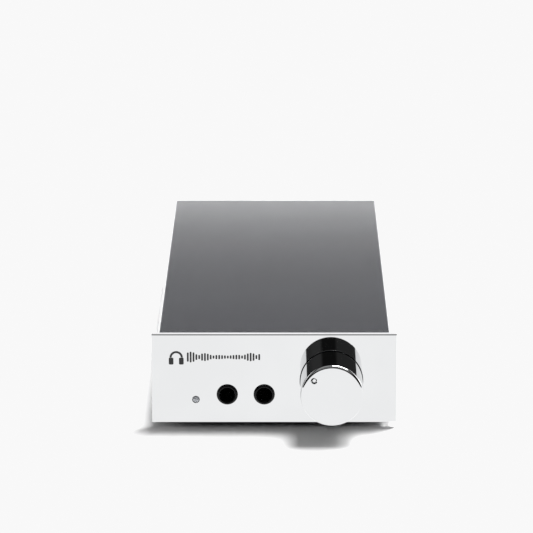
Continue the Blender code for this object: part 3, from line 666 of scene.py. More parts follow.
def make_capacitor_sleeve():
    """Shrunk plastic sleeve with fine rings round it."""
    finish = Finish("capacitor_sleeve", IOR=1.5, Coat_Weight=0.4, Coat_Roughness=0.15)
    tree = finish.tree
    inputs = {"Vector": object_place(tree), "Scale": 300.0, "Distortion": 1.5}
    rings = add_node(tree, "ShaderNodeTexWave", inputs, bands_direction="Z")
    finish.bump(rings.outputs["Fac"], 0.02 * MM)
    return finish.coloured((0.012, 0.014, 0.045), drift=0.2, scale=80.0).handled(0.2, 0.35)


def make_heatsink_anodise():
    """Black anodising over the drawn lines of an extrusion."""
    finish = Finish("heatsink_anodise", Metallic=0.6)
    tree = finish.tree
    lines = add_node(tree, "ShaderNodeMapping", {"Vector": object_place(tree), "Scale": (1.0, 1.0, 0.04)})
    finish.bump(noise(tree, lines.outputs["Vector"], 4000.0), 0.01 * MM)
    finish.coloured((0.03, 0.03, 0.032), drift=0.2, scale=150.0, wear=(BARE_STEEL, 0.15 * MM, 0.4))
    return finish.handled(0.35, 0.5)


def make_gold(colours):
    finish = Finish("gold_plate", Metallic=1.0)
    return finish.coloured(colours.gold, drift=0.08, scale=180.0).handled(0.12, 0.28, scale=160.0)


def make_nickel():
    finish = Finish("nickel_plate", Metallic=1.0)
    return finish.coloured((0.68, 0.66, 0.61), drift=0.08, scale=180.0).handled(0.15, 0.3, scale=160.0)


def make_channel_plastic(name, base):
    finish = Finish(name, IOR=1.5)
    finish.coloured(base, drift=0.06, scale=200.0)
    return finish.handled(0.25, 0.4, scale=120.0).grained(4000.0, 0.003 * MM)


def make_ink(name, base):
    finish = Finish(name, IOR=1.45)
    finish.coloured(base, drift=0.12, scale=800.0)
    return finish.handled(0.35, 0.5, scale=300.0).grained(9000.0, 0.002 * MM)


def material(name):
    return bpy.data.materials[name]


# The front

def make_front_panel(sizes):
    """A thick polished plate, bevelled round its face, with blind screw holes behind."""
    front, back = PANEL_LOW.y, PANEL_HIGH.y
    ease, back_ease, corner = sizes.hole_ease, 0.12 * MM, 0.25 * MM
    jack_clearance, lamp_hole, screw_hole, screw_floor = 0.15 * MM, 1.65 * MM, 1.6 * MM, 0.8 * MM
    knob_hole = circle(across(KNOB_CENTRE), sizes.knob_opening, sizes.round_segments)
    holes = [(knob_hole, ease)]
    for side in ("left", "right"):
        low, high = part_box(f"jack_bushing_{side}")
        radius = (high.x - low.x) / 2 + jack_clearance
        holes.append((circle(across(middle(low, high)), radius, BUSH_SIDES), ease))
    holes.append((circle(lamp_axis(), lamp_hole, SMALL_SIDES), ease / 2))
    bores = [(hole, flared(eased(front, back, rim))) for hole, rim in holes]
    for screw in numbered("front_panel_screw"):
        border = circle(across(centre_of(screw)), screw_hole, HOLE_SIDES)
        bores.append((border, [(front + screw_floor, 0), (back, 0)]))
    border = rounded_box(across(PANEL_LOW), across(PANEL_HIGH), corner, steps=3)
    chamfer = sizes.panel_chamfer
    steps = [(front, chamfer), (front + chamfer, 0), (back - back_ease, 0), (back, back_ease)]
    plate = Blank()
    plate.slab(border, steps, holes=bores)
    plate.piece("front_plate", "case", material("polished_chrome"), ["front_panel"])


def lamp_axis():
    """The lamp's axis, from the box of its collar and legs."""
    return (LAMP_LOW.x + LAMP_HIGH.x) / 2, LAMP_HIGH.z - LAMP_COLLAR_RADIUS


def make_panel_marks(sizes):
    """A pictogram of headphones and a row of sound bars, printed at the panel's top left."""
    print_steps = [(PANEL_LOW.y - sizes.mark_rise, 0), (PANEL_LOW.y, 0)]
    make_headphone_sign(print_steps)
    make_sound_bars(print_steps)


def make_headphone_sign(print_steps):
    """A headband with a cup at either end."""
    centre_x, band_z, band_radius, band_width, arc_steps = -43.9 * MM, 33.2 * MM, 3.0 * MM, 0.95 * MM, 24
    bearings = [math.pi * i / arc_steps for i in range(arc_steps + 1)]
    band = []
    for radius, side in ((band_radius, bearings), (band_radius - band_width, bearings[::-1])):
        band += [(centre_x + radius * math.cos(t), band_z + radius * math.sin(t), 0) for t in side]
    sign = Blank()
    sign.slab(outline(band), print_steps)
    cup_half, cup_corner, cup_drop = (1.05 * MM, 1.6 * MM), 0.5 * MM, 0.08 * MM
    cup_reach = band_radius - 0.75 * band_width
    for side in (-1, 1):
        cup = (centre_x + side * cup_reach, band_z - cup_half[1] - cup_drop)
        sign.slab(centred_box(cup, *cup_half, cup_corner), print_steps)
    sign.piece("panel_sign_headphones", "case", material("panel_ink"))


def make_sound_bars(print_steps):
    """A row of round-ended bars whose heights swell and fade."""
    bars, first_x, pitch, half_width, corner = 26, -38.7 * MM, 1.28 * MM, 0.4 * MM, 0.35 * MM
    half_height, least, more = 3.1 * MM, 0.22, 0.6
    phase, ripple, slow_ripple, slow_share = 0.9, 0.61, 0.23, 0.45
    row_z = PANEL_LOW.z + half_height + 27.6 * MM
    wave = Blank()
    for number in range(bars):
        fade = 1 - slow_share + slow_share * math.cos(slow_ripple * number)
        reach = half_height * (least + more * abs(math.sin(phase + ripple * number)) * fade)
        bar = centred_box((first_x + number * pitch, row_z), half_width, reach, corner, steps=4)
        wave.slab(bar, print_steps)
    wave.piece("panel_sign_sound_bars", "case", material("panel_ink"))


def knob_profile(sizes):
    """(along, radius) points from the face over the edge, the neck and the recess behind to the bore."""
    front, back = KNOB_LOW.y, KNOB_HIGH.y
    radius, edge, chamfer, chamfer_slope = KNOB_RADIUS, sizes.knob_edge, sizes.knob_chamfer, 1.33
    shoulder, neck_radius = PANEL_LOW.y - sizes.knob_gap, radius - 0.8 * MM
    recess_floor, recess_radius, recess_ease = PANEL_LOW.y - 3.4 * MM, 10 * MM, 0.5 * MM
    bore_floor, bore_radius = PANEL_LOW.y - 17 * MM, 3.15 * MM
    ease, lip_ease = 0.1 * MM, 0.2 * MM
    return filleted([(front, radius - 2 * edge, 0), (front, radius, edge),
                     (shoulder - chamfer_slope * chamfer, radius, ease), (shoulder, radius - chamfer, ease),
                     (shoulder, neck_radius, ease), (back, neck_radius, lip_ease),
                     (back, recess_radius, lip_ease), (recess_floor, recess_radius, recess_ease),
                     (recess_floor, bore_radius, lip_ease), (bore_floor, bore_radius, 0)], steps=12)


def make_volume_knob(sizes):
    """A polished cap with a rounded front edge, a drilled pointer and a hole for its grub screw."""
    centre = across(KNOB_CENTRE)
    knob = Blank()
    loops = knob.turn(knob_profile(sizes), centre=centre, segments=sizes.round_segments)
    knob.fill(loops[-1])
    pointer = (centre[0] - math.sin(sizes.pointer_angle) * sizes.pointer_reach,
               centre[1] + math.cos(sizes.pointer_angle) * sizes.pointer_reach)
    walls = pointer_hollow(KNOB_LOW.y, sizes.pointer_radius, sizes.pointer_depth)
    hollow = knob.turn(walls, centre=pointer, segments=SMALL_SIDES)
    knob.fill(hollow[-1])
    knob.fill(loops[0], hollow[0])
    grub, hole_radius = centre_of("knob_grub_screw"), 1.5 * MM
    hole = Blank()
    upwards = [(KNOB_LOW.z - 1 * MM, hole_radius), (centre[1] - 2 * MM, hole_radius)]
    hole.turned(upwards, "Z", (grub.x, grub.y), HOLE_SIDES)
    knob.carve(hole)
    knob.piece("volume_cap", "volume_knob", material("polished_chrome"), ["volume_knob"])
    make_grub_screw()


def make_grub_screw():
    """A headless screw with a hexagon socket, up through the knob's underside."""
    low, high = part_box("knob_grub_screw")
    place = middle(low, high)
    thread_radius, tip_radius, thread_end, tip_end = 1.3 * MM, 0.7 * MM, 3.3 * MM, 3.9 * MM
    socket_radius, socket_depth = 0.75 * MM, 1.2 * MM
    shank = [(0, thread_radius), (thread_end, thread_radius), (tip_end, tip_radius)]
    screw = Blank()
    socket_screw(screw, shank, socket_radius, socket_depth)
    screw.place(Matrix.Translation((place.x, place.y, low.z)))
    screw.piece("volume_cap_grub_screw", "volume_knob", material("zinc_plated_steel"),
                ["knob_grub_screw"])


def pointer_hollow(face, rim, depth):
    """(along, radius) points from a softened rim down steep walls to a flat floor."""
    floor, floor_radius, lip = face + depth, 0.55 * rim, 0.2 * MM
    rim_ease, floor_ease = 0.1 * MM, 0.12 * MM
    return filleted([(face, rim + lip, 0), (face, rim, rim_ease), (floor, floor_radius, floor_ease),
                     (floor, 0.2 * floor_radius, 0)], steps=4)


def socket_screw(blank, profile, socket, depth, axis="Z"):
    """A screw with a hexagon socket: profile runs from the crown's rim to the tip."""
    loops = blank.turn(profile, axis, segments=SCREW_SIDES)
    blank.fill(loops[-1])
    hexagon = circle((0, 0), socket, 6)
    start = profile[0][0]
    walls = blank.sweep(hexagon, [(start, 0), (start + depth, 0)], axis)
    blank.fill(walls[-1])
    blank.fill(loops[0], walls[0])


def make_headphone_jacks():
    """Black bushes with a raised lip round the bore."""
    bore, mouth, mouth_depth = 3.25 * MM, 0.4 * MM, 0.9 * MM
    lip, lip_radius, ease = 0.3 * MM, 4.05 * MM, 0.12 * MM
    for side in ("left", "right"):
        low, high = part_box(f"jack_bushing_{side}")
        outer, front = (high.x - low.x) / 2, low.y
        profile = [(high.y, bore, 0), (front + mouth_depth, bore, 0.25 * MM), (front, bore + mouth, ease),
                   (front, lip_radius, ease), (front + lip, lip_radius + 0.05 * MM, 0.08 * MM),
                   (front + lip, outer, 0.35 * MM), (high.y, outer, 0)]
        bush = Blank()
        bush.turned_ring(filleted(profile), centre=across(middle(low, high)), segments=BUSH_SIDES)
        bush.piece(f"jack_bush_{side}", "case", material("jack_bush_plastic"),
                   [f"jack_bushing_{side}"])


def make_power_lamp():
    """A small domed lamp on two bent legs."""
    centre, radius, tip, dome_steps, pole = lamp_axis(), 1.5 * MM, LAMP_LOW.y, 12, math.asin(0.05)
    collar_radius, collar_back = LAMP_COLLAR_RADIUS, tip + 6.9 * MM
    collar_front = collar_back - 1 * MM
    dome = [pole + (math.pi / 2 - pole) * i / dome_steps for i in range(dome_steps + 1)]
    profile = [(tip + radius * (1 - math.cos(t)), radius * math.sin(t)) for t in dome]
    profile += [(collar_front, radius), (collar_front, collar_radius), (collar_back, collar_radius)]
    lens = Blank()
    lens.turned(profile, centre=centre, segments=SMALL_SIDES)
    lens.piece("lamp_lens", "case", material("lamp_resin"), ["power_lamp"])
    half, leg_spread, start = 0.25 * MM, 1.27 * MM, collar_back + 0.02 * MM
    inner_bend, outer_bend = 0.1 * MM, 0.6 * MM
    z, elbow, drop = centre[1], LAMP_HIGH.y, LAMP_LOW.z
    shape = outline([(start, z - half, 0), (elbow - 2 * half, z - half, inner_bend),
                     (elbow - 2 * half, drop, 0), (elbow, drop, 0),
                     (elbow, z + half, outer_bend), (start, z + half, 0)])
    legs = Blank()
    for side in (-1, 1):
        x = centre[0] + side * leg_spread
        legs.slab(shape, [(x - half, 0), (x + half, 0)], "X")
    legs.piece("lamp_legs", "case", material("zinc_plated_steel"))


# The casing

def folded_sheet(half_width, top, foot, bend, thickness):
    """The outline of a sheet folded over the top and down both sides."""
    inner_half, inner_top, inner_bend = half_width - thickness, top - thickness, bend - thickness
    return outline([(half_width, foot, 0), (half_width, top, bend), (-half_width, top, bend),
                    (-half_width, foot, 0), (-inner_half, foot, 0), (-inner_half, inner_top, inner_bend),
                    (inner_half, inner_top, inner_bend), (inner_half, foot, 0)], steps=12)


def make_top_cover(sizes):
    """One sheet folded over the top and both sides, with two screw tabs inside its back edge."""
    section = folded_sheet(COVER_HIGH.x, COVER_HIGH.z, COVER_LOW.z, sizes.bend_radius, SHEET)
    cover = Blank()
    cover.slab(section, eased(COVER_LOW.y, COVER_HIGH.y, sizes.sheet_ease))
    tab_back, tab_half, tab_top = REAR_LOW.y - 0.2 * MM, 3.5 * MM, COVER_HIGH.z - SHEET / 2
    through_tab = [(tab_back - 2 * SHEET, THREAD_RADIUS), (tab_back + SHEET / 3, THREAD_RADIUS)]
    for number in range(1, 5):
        rear = centre_of(f"rear_panel_screw_{number}")
        if rear.z > CASE_MIDDLE_Z:
            tab = Blank()
            border = rounded_box((rear.x - tab_half, rear.z - tab_half), (rear.x + tab_half, tab_top), 0)
            tab.slab(border, [(tab_back - SHEET, 0), (tab_back, 0)])
            cover.carve(tab, "UNION")
            bore = Blank()
            bore.turned(through_tab, "Y", across(rear), HOLE_SIDES)
            cover.carve(bore)
        bore = Blank()
        side_screw_hole(bore, COVER_HIGH.x, centre_of(f"cover_screw_{number}"))
        cover.carve(bore)
    cover.piece("folded_cover", "case", material("anthracite_powder_coat"), ["top_cover"])


def side_screw_hole(blank, half_width, screw):
    """A screw's hole through the wall on the screw's own side."""
    wall = math.copysign(half_width, screw.x)
    through_wall = [(wall - 2 * SHEET, THREAD_RADIUS), (wall + SHEET, THREAD_RADIUS)]
    blank.turned(through_wall, "X", (screw.y, screw.z), HOLE_SIDES)


def make_chassis_tray(sizes):
    """A folded floor with rounded bends, a front upstand, low flanges, vents and a gain switch window."""
    low, high = TRAY_LOW, TRAY_HIGH
    fold, inner_fold, flange_height = 1.8 * MM, 0.5 * MM, 8 * MM
    tray = Blank()
    tray.slab(clipped_box(low, high, corner_cut(sizes), fold, 0), eased(low.y, high.y, sizes.sheet_ease))
    hollow = Blank()
    inside = rounded_box((low.x + SHEET, low.z + SHEET), (high.x - SHEET, high.z + SHEET), inner_fold)
    hollow.slab(inside, [(low.y + SHEET, 0), (high.y - SHEET, 0)])
    tray.carve(hollow)
    above = Blank()
    above.slab(rounded_box((2 * low.x, low.z + flange_height), (2 * high.x, high.z + SHEET), 0),
               [(low.y + SHEET, 0), (high.y + SHEET, 0)])
    tray.carve(above)
    for cutter in (upstand_holes(), floor_slots(), flange_holes()):
        tray.carve(cutter)
    tray.piece("floor_tray", "case", material("anthracite_powder_coat"), ["chassis_tray"])


def upstand_holes():
    """Holes for the potentiometer, the jacks, the lamp and the front panel's screws."""
    start, end = TRAY_LOW.y - SHEET, TRAY_LOW.y + 2 * SHEET
    knob_hole, jack_hole, lamp_hole, screw_hole = 4.2 * MM, 4.65 * MM, 1.65 * MM, 1.6 * MM
    jacks = ("jack_bushing_left", "jack_bushing_right")
    round_holes = [(across(KNOB_CENTRE), knob_hole, SMALL_SIDES)]
    round_holes += [(across(centre_of(jack)), jack_hole, SMALL_SIDES) for jack in jacks]
    round_holes.append((lamp_axis(), lamp_hole, HOLE_SIDES))
    round_holes += [(across(centre_of(screw)), screw_hole, HOLE_SIDES)
                    for screw in numbered("front_panel_screw")]
    holes = Blank()
    for centre, radius, segments in round_holes:
        holes.turned([(start, radius), (end, radius)], centre=centre, segments=segments)
    return holes


def floor_slots():
    """Two rows of round-ended vents, and the window that the gain switches look through."""
    through = [(TRAY_LOW.z - SHEET, 0), (TRAY_LOW.z + 2 * SHEET, 0)]
    slots, pitch, half_width, half_length, rows = 7, 8 * MM, 1.25 * MM, 10 * MM, (70 * MM, 180 * MM)
    cut = Blank()
    for from_front in rows:
        for number in range(slots):
            place = ((number - (slots - 1) / 2) * pitch, PANEL_LOW.y + from_front)
            cut.slab(centred_box(place, half_width, half_length, 0.99 * half_width), through, "Z")
    low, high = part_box("gain_switch_block")
    loose = 0.6 * MM
    window = rounded_box((low.x - loose, low.y - loose), (high.x + loose, high.y + loose), 0.5 * MM)
    cut.slab(window, through, "Z")
    return cut


def flange_holes():
    """Holes for the lower rear panel screws and the cover's side screws."""
    holes = Blank()
    through_back = [(TRAY_HIGH.y - 2 * SHEET, THREAD_RADIUS), (TRAY_HIGH.y + SHEET, THREAD_RADIUS)]
    for number in range(1, 5):
        rear = centre_of(f"rear_panel_screw_{number}")
        if rear.z < CASE_MIDDLE_Z:
            holes.turned(through_back, centre=across(rear), segments=HOLE_SIDES)
        side_screw_hole(holes, TRAY_HIGH.x, centre_of(f"cover_screw_{number}"))
    return holes


def make_feet():
    """Moulded feet with a rounded tread and a shallow hollow."""
    hollow_depth, hollow_radius, slope, lip = 1.2 * MM, 3 * MM, 0.5 * MM, 0.3 * MM
    tread, top_ease, screw_radius = 0.7 * MM, 0.2 * MM, 4 * MM
    dimple = (hollow_depth + 0.05 * MM, 0.3 * MM)
    for number in range(1, 5):
        low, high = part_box(f"rubber_foot_{number}")
        place, radius = middle(low, high), (high.x - low.x) / 2
        profile = filleted([(hollow_depth, hollow_radius - slope, 0), (0, hollow_radius, lip),
                            (0, radius - lip, tread), (high.z, radius, top_ease),
                            (high.z, screw_radius, 0)])
        foot = Blank()
        foot.turned([dimple, *profile], "Z", (place.x, place.y))
        foot.piece(f"moulded_foot_{number}", "case", material("foot_rubber"),
                   [f"rubber_foot_{number}"])


def make_screws():
    """Button-head screws with hexagon sockets, in the back panel and the cover's sides."""
    head, rise, shank, reach, tip, dome_steps = 2.4 * MM, 1.4 * MM, 1.15 * MM, 4.5 * MM, 0.3 * MM, 8
    socket_radius, socket_depth, crown = 0.85 * MM, 0.9 * MM, 0.55 * head
    bearings = [math.pi / 2 * i / dome_steps for i in range(dome_steps + 1)]
    dome = [(rise * (1 - math.cos(t)), crown + (head - crown) * math.sin(t)) for t in bearings]
    profile = [*dome, (rise, shank), (rise + reach - tip, shank), (rise + reach, shank - tip)]
    for node in (*numbered("rear_panel_screw"), *numbered("cover_screw")):
        low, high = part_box(node)
        place = middle(low, high)
        if node.startswith("rear"):
            stand = Matrix.Translation((place.x, high.y, place.z)) @ Matrix.Rotation(math.pi / 2, 4, "X")
        else:
            outer, turn = (high.x, -math.pi / 2) if place.x > 0 else (low.x, math.pi / 2)
            stand = Matrix.Translation((outer, place.y, place.z)) @ Matrix.Rotation(turn, 4, "Y")
        screw = Blank()
        socket_screw(screw, profile, socket_radius, socket_depth)
        screw.place(stand)
        screw.piece(f"button_{node}", "case", material("blackened_steel"), [node])


# The back

def make_rear_panel(sizes):
    """A plate with a hole or a cut-out for each connector."""
    low, high, corner, cutout_corner = REAR_LOW, REAR_HIGH, 0.3 * MM, 0.8 * MM
    screw_hole, phono_hole = 1.4 * MM, 3.7 * MM
    bore = flared(eased(low.y, high.y, sizes.hole_ease))
    holes = [(circle(across(centre_of(node)), screw_hole, HOLE_SIDES), bore)
             for node in numbered("rear_panel_screw")]
    holes += [(circle(across(centre_of(f"phono_{name}")), phono_hole, SMALL_SIDES), bore)
              for name in PHONO_SOCKETS]
    for name, half_a, half_b in (("mains_inlet", 13.8 * MM, 10.1 * MM),
                                 ("power_switch_frame", 6.7 * MM, 9.7 * MM)):
        holes.append((centred_box(across(centre_of(name)), half_a, half_b, cutout_corner), bore))
    border = clipped_box(low, high, corner_cut(sizes), corner, corner)
    panel = Blank()
    panel.slab(border, eased(low.y, high.y, sizes.sheet_ease), holes=holes)
    panel.piece("back_plate", "case", material("anthracite_powder_coat"), ["rear_panel"])


def make_mains_inlet():
    """A three-pin appliance inlet: a flange, a keyed cup round the pins and a body behind."""
    low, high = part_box("mains_inlet")
    centre = (middle(low, high).x, CASE_MIDDLE_Z)
    flange_back, cup_floor = CASE_BACK + 0.1 * MM, CASE_BACK - 14.4 * MM
    ease, back_ease = 0.35 * MM, 0.4 * MM
    cup_half, cup_cut, cup_corner = Vector((12.2 * MM, 0, 8.3 * MM)), 4.5 * MM, 0.8 * MM
    cup_middle = Vector((centre[0], 0, centre[1]))
    cup = clipped_box(cup_middle - cup_half, cup_middle + cup_half, cup_cut, cup_corner, cup_corner)
    flange = rounded_box(across(low), across(high), 2 * MM)
    body = centred_box(centre, 13.6 * MM, 9.9 * MM, 1.5 * MM)
    inlet = Blank()
    rounding = eased(cup_floor, high.y, ease)
    inner = inlet.sweep(cup, flared(rounding[len(rounding) // 2:]))
    floor = inlet.sweep(cup, [(cup_floor, 0), (cup_floor + ease, 0)])
    inlet.wall(floor[-1], inner[0])
    outer = inlet.sweep(flange, eased(flange_back, high.y, ease))
    inlet.fill(outer[-1], inner[-1])
    back = inlet.sweep(body, [(low.y, back_ease), (low.y + back_ease, 0), (flange_back, 0)])
    inlet.fill(outer[0], back[-1])
    loose, openings = Vector((0.2 * MM, 0, 0.2 * MM)), []
    for name in ("live", "neutral", "earth"):
        pin_low, pin_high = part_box(f"inlet_pin_{name}")
        slot = rounded_box(across(pin_low - loose), across(pin_high + loose), 0.3 * MM, steps=3)
        openings.append(inlet.sweep(slot, [(low.y, 0), (cup_floor, 0)]))
        make_inlet_pin(name, pin_low, pin_high)
    inlet.fill(back[0], *[slot[0] for slot in openings])
    inlet.fill(floor[0], *[slot[-1] for slot in openings])
    inlet.piece("mains_socket", "case", material("moulded_black_plastic"), ["mains_inlet"])


def make_inlet_pin(name, low, high):
    """A flat pin with a tapered tip."""
    tip, end, corner = 0.8 * MM, high.y, 0.35 * MM
    pin = Blank()
    pin.slab(rounded_box(across(low), across(high), corner, steps=4),
             [(low.y, 0), (end - tip, 0), (end - tip / 4, 0.3 * tip), (end, 0.6 * tip)])
    pin.piece(f"mains_pin_{name}", "case", material("nickel_plate"), [f"inlet_pin_{name}"])


def make_power_switch():
    """A rocker with a hollowed face in a snap-in frame, with an on bar and an off ring on its face."""
    low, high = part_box("power_switch_frame")
    centre = (middle(low, high).x, CASE_MIDDLE_Z)
    flange_back, well_floor, ease, back_ease = CASE_BACK + 0.1 * MM, CASE_BACK - 9 * MM, 0.3 * MM, 0.3 * MM
    body_x, body_z, wall, clearance = 6.5 * MM, 9.5 * MM, 1 * MM, 0.3 * MM
    holder = Blank()
    outer = holder.sweep(rounded_box(across(low), across(high), 1 * MM), eased(flange_back, high.y, ease))
    inner = holder.sweep(centred_box(centre, body_x - wall, body_z - wall, 0.5 * MM),
                         [(well_floor, 0), (high.y - ease, 0), (high.y - ease / 3, -ease / 3),
                          (high.y, -ease)])
    back = holder.sweep(centred_box(centre, body_x, body_z, 0.6 * MM),
                        [(low.y, back_ease), (low.y + back_ease, 0), (flange_back, 0)])
    holder.fill(outer[-1], inner[-1])
    holder.fill(outer[0], back[-1])
    holder.fill(inner[0])
    holder.fill(back[0])
    holder.piece("switch_frame", "case", material("moulded_black_plastic"),
                 ["power_switch_frame"])
    make_rocker(centre, body_x - wall - clearance)


def make_rocker(centre, half_width):
    """The rocker about its pivot, tilted to off, with both marks on its face."""
    pivot = Vector((centre[0], CASE_BACK - 2 * MM, centre[1]))
    half_height, edge_out, middle_out, tilt, ease = 7.4 * MM, 4 * MM, 2.5 * MM, math.radians(-12), 0.3 * MM
    edge_radius, hollow_radius, root, root_half, root_radius = 0.5 * MM, 14 * MM, -2.5 * MM, 3 * MM, 1 * MM
    side_view = [(edge_out, -half_height, edge_radius), (middle_out, 0, hollow_radius),
                 (edge_out, half_height, edge_radius), (ease, half_height, ease),
                 (root, root_half, root_radius), (root, -root_half, root_radius), (ease, -half_height, ease)]
    stand = Matrix.Translation(pivot) @ Matrix.Rotation(tilt, 4, "X")
    rocker = Blank()
    rocker.slab(outline(side_view, steps=8), eased(-half_width, half_width, ease), "X")
    rocker.place(stand)
    rocker.piece("rocker_cap", "power_rocker", material("moulded_black_plastic"),
                 ["power_rocker"])
    lean = math.atan2(edge_out - middle_out, half_height)
    make_rocker_marks(stand, middle_out, lean)


def make_rocker_marks(stand, middle_out, lean):
    """A bar on the half that is pressed in for on, and a ring on the other."""
    rise, mark_z = 0.04 * MM, 4.6 * MM
    face_out, steps = middle_out + math.tan(lean) * mark_z, [(-rise, 0), (rise, 0)]
    bar = centred_box((0, 0), 0.28 * MM, 1.3 * MM, 0.1 * MM)
    ring, ring_hole = (circle((0, 0), radius, SMALL_SIDES) for radius in (1.35 * MM, 0.85 * MM))
    for name, side, border, holes in (("rocker_mark_on", 1, bar, []),
                                      ("rocker_mark_off", -1, ring, [(ring_hole, steps)])):
        sign = Blank()
        sign.slab(border, steps, holes=holes)
        on_face = Matrix.Translation((0, face_out, side * mark_z)) @ Matrix.Rotation(-side * lean, 4, "X")
        sign.place(stand @ on_face)
        sign.piece(name, "power_rocker", material("pale_ink"))


def make_phono_sockets():
    """Gold-plated sockets, each with a coloured insulator round its pin hole."""
    thread, barrel, wall, groove = 3.5 * MM, 4.15 * MM, 0.85 * MM, 0.25 * MM
    ease, insulator_gap = 0.05 * MM, 0.03 * MM
    for name in PHONO_SOCKETS:
        low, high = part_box(f"phono_{name}")
        centre, flange = across(middle(low, high)), (high.x - low.x) / 2
        seat, mouth = CASE_BACK + 0.1 * MM, high.y
        shoulder, bore_floor = seat + 1.8 * MM, mouth - 8 * MM
        grooved = [(mouth - 1.6 * MM, barrel, ease), (mouth - 1.45 * MM, barrel - groove, ease),
                   (mouth - 1.2 * MM, barrel - groove, ease), (mouth - 1.05 * MM, barrel, ease)]
        profile = filleted([(low.y, thread, 0), (seat, thread, 0), (seat, flange, 0.2 * MM),
                            (shoulder, flange, 0.35 * MM), (shoulder, barrel, 0.3 * MM), *grooved,
                            (mouth, barrel, 0.3 * MM), (mouth, barrel - wall, 0.15 * MM),
                            (bore_floor, barrel - wall, 0)], steps=4)
        socket = Blank()
        socket.turned(profile, centre=centre, segments=TURNED_SIDES)
        socket.piece(f"phono_barrel_{name}", "case", material("gold_plate"), [f"phono_{name}"])
        make_insulator(name, centre, barrel - wall - insulator_gap, mouth, bore_floor)


def make_insulator(name, centre, outer, mouth, bore_floor):
    """A ring of coloured plastic deep in a socket's barrel, with a rounded pin hole."""
    hole, root, face, foot = 1.65 * MM, bore_floor + 0.05 * MM, mouth - 0.8 * MM, bore_floor + 0.5 * MM
    ring = filleted([(root, hole, 0), (root, outer, 0.1 * MM), (face, outer, 0.15 * MM),
                     (face, hole, 0.3 * MM), (foot, hole, 0)], steps=4)
    channel = name.split("_")[-1]
    insulator = Blank()
    insulator.turned_ring(ring, centre=centre, segments=SMALL_SIDES)
    insulator.piece(f"phono_insulator_{name}", "case", material(f"{channel}_channel_plastic"))


# Under the case, and inside it

def make_gain_switches():
    """A small slide switch block, seen through the floor, with a ribbed slider in each slot."""
    low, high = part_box("gain_switch_block")
    loose, travel, slot_depth, slots = 0.15 * MM, 1.6 * MM, 1.6 * MM, []
    for number in range(1, 5):
        key_low, key_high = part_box(f"gain_slider_{number}")
        slot = rounded_box((key_low.x - loose, key_low.y - loose),
                           (key_high.x + loose, key_high.y + travel + loose), 0.05 * MM, steps=2)
        slots.append((slot, [(low.z, 0), (low.z + slot_depth, 0)]))
        make_gain_key(number, key_low, key_high)
    block = Blank()
    border = rounded_box((low.x, low.y), (high.x, high.y), 0.3 * MM, steps=3)
    block.slab(border, eased(low.z, high.z, 0.15 * MM), "Z", holes=slots)
    block.piece("gain_switch_case", "case", material("right_channel_plastic"),
                ["gain_switch_block"])


def make_gain_key(number, low, high):
    """A slider with two notches across its face."""
    half_notch, notch_offset = 0.16 * MM, 0.3 * MM
    notch_ease, end_ease, ease = 0.03 * MM, 0.12 * MM, 0.06 * MM
    side_view = [(low.y, high.z, 0), (low.y, low.z, end_ease)]
    for notch in (-1, 1):
        y = middle(low, high).y + notch * notch_offset
        side_view += [(y - half_notch, low.z, notch_ease), (y, low.z + half_notch, notch_ease),
                      (y + half_notch, low.z, notch_ease)]
    side_view += [(high.y, low.z, end_ease), (high.y, high.z, 0)]
    key = Blank()
    key.slab(outline(side_view, steps=3), eased(low.x, high.x, ease), "X")
    key.piece(f"gain_key_{number}", f"gain_slider_{number}", material("left_channel_plastic"),
              [f"gain_slider_{number}"])


INNER_FINISHES = {
    "board_pillar": "zinc_plated_steel",
    "board_screw": "zinc_plated_steel",
    "front_panel_screw": "zinc_plated_steel",
    "potentiometer_bushing": "zinc_plated_steel",
    "potentiometer_nut": "zinc_plated_steel",
    "potentiometer_shaft": "zinc_plated_steel",
    "potentiometer_body": "potentiometer_case",
    "jack_housing": "moulded_black_plastic",
    "main_board": "board_laminate",
    "mains_transformer": "transformer_potting",
    "reservoir_capacitor": "capacitor_sleeve",
    "heatsink": "heatsink_anodise",
}


def finish_inner_pieces():
    """Gives the frame's own inner pieces their finishes."""
    for name, node in frame["nodes"].items():
        for start, finish in INNER_FINISHES.items():
            if name.startswith(start):
                node.material_slots[0].material = material(finish)


# The studio

FLOOR_RADIUS = 8.0
FLOOR_SIDES = 96
SUN_DISTANCE = 4.0
MIRRORED_FLOOR_END = (-0.52, -0.44)
UNLIT = (0.01, 0.01, 0.01)
ROOM_GLOW = 0.006
BACKDROP = (0.95, 0.95, 0.955, 1.0)
KEY_LIGHT_PASSES = ("folded_cover", "back_plate", "mains_socket", "button_cover_screw", "mains_transformer",
                    "reservoir_capacitor", "heatsink", "main_board", "board_pillar", "board_screw")


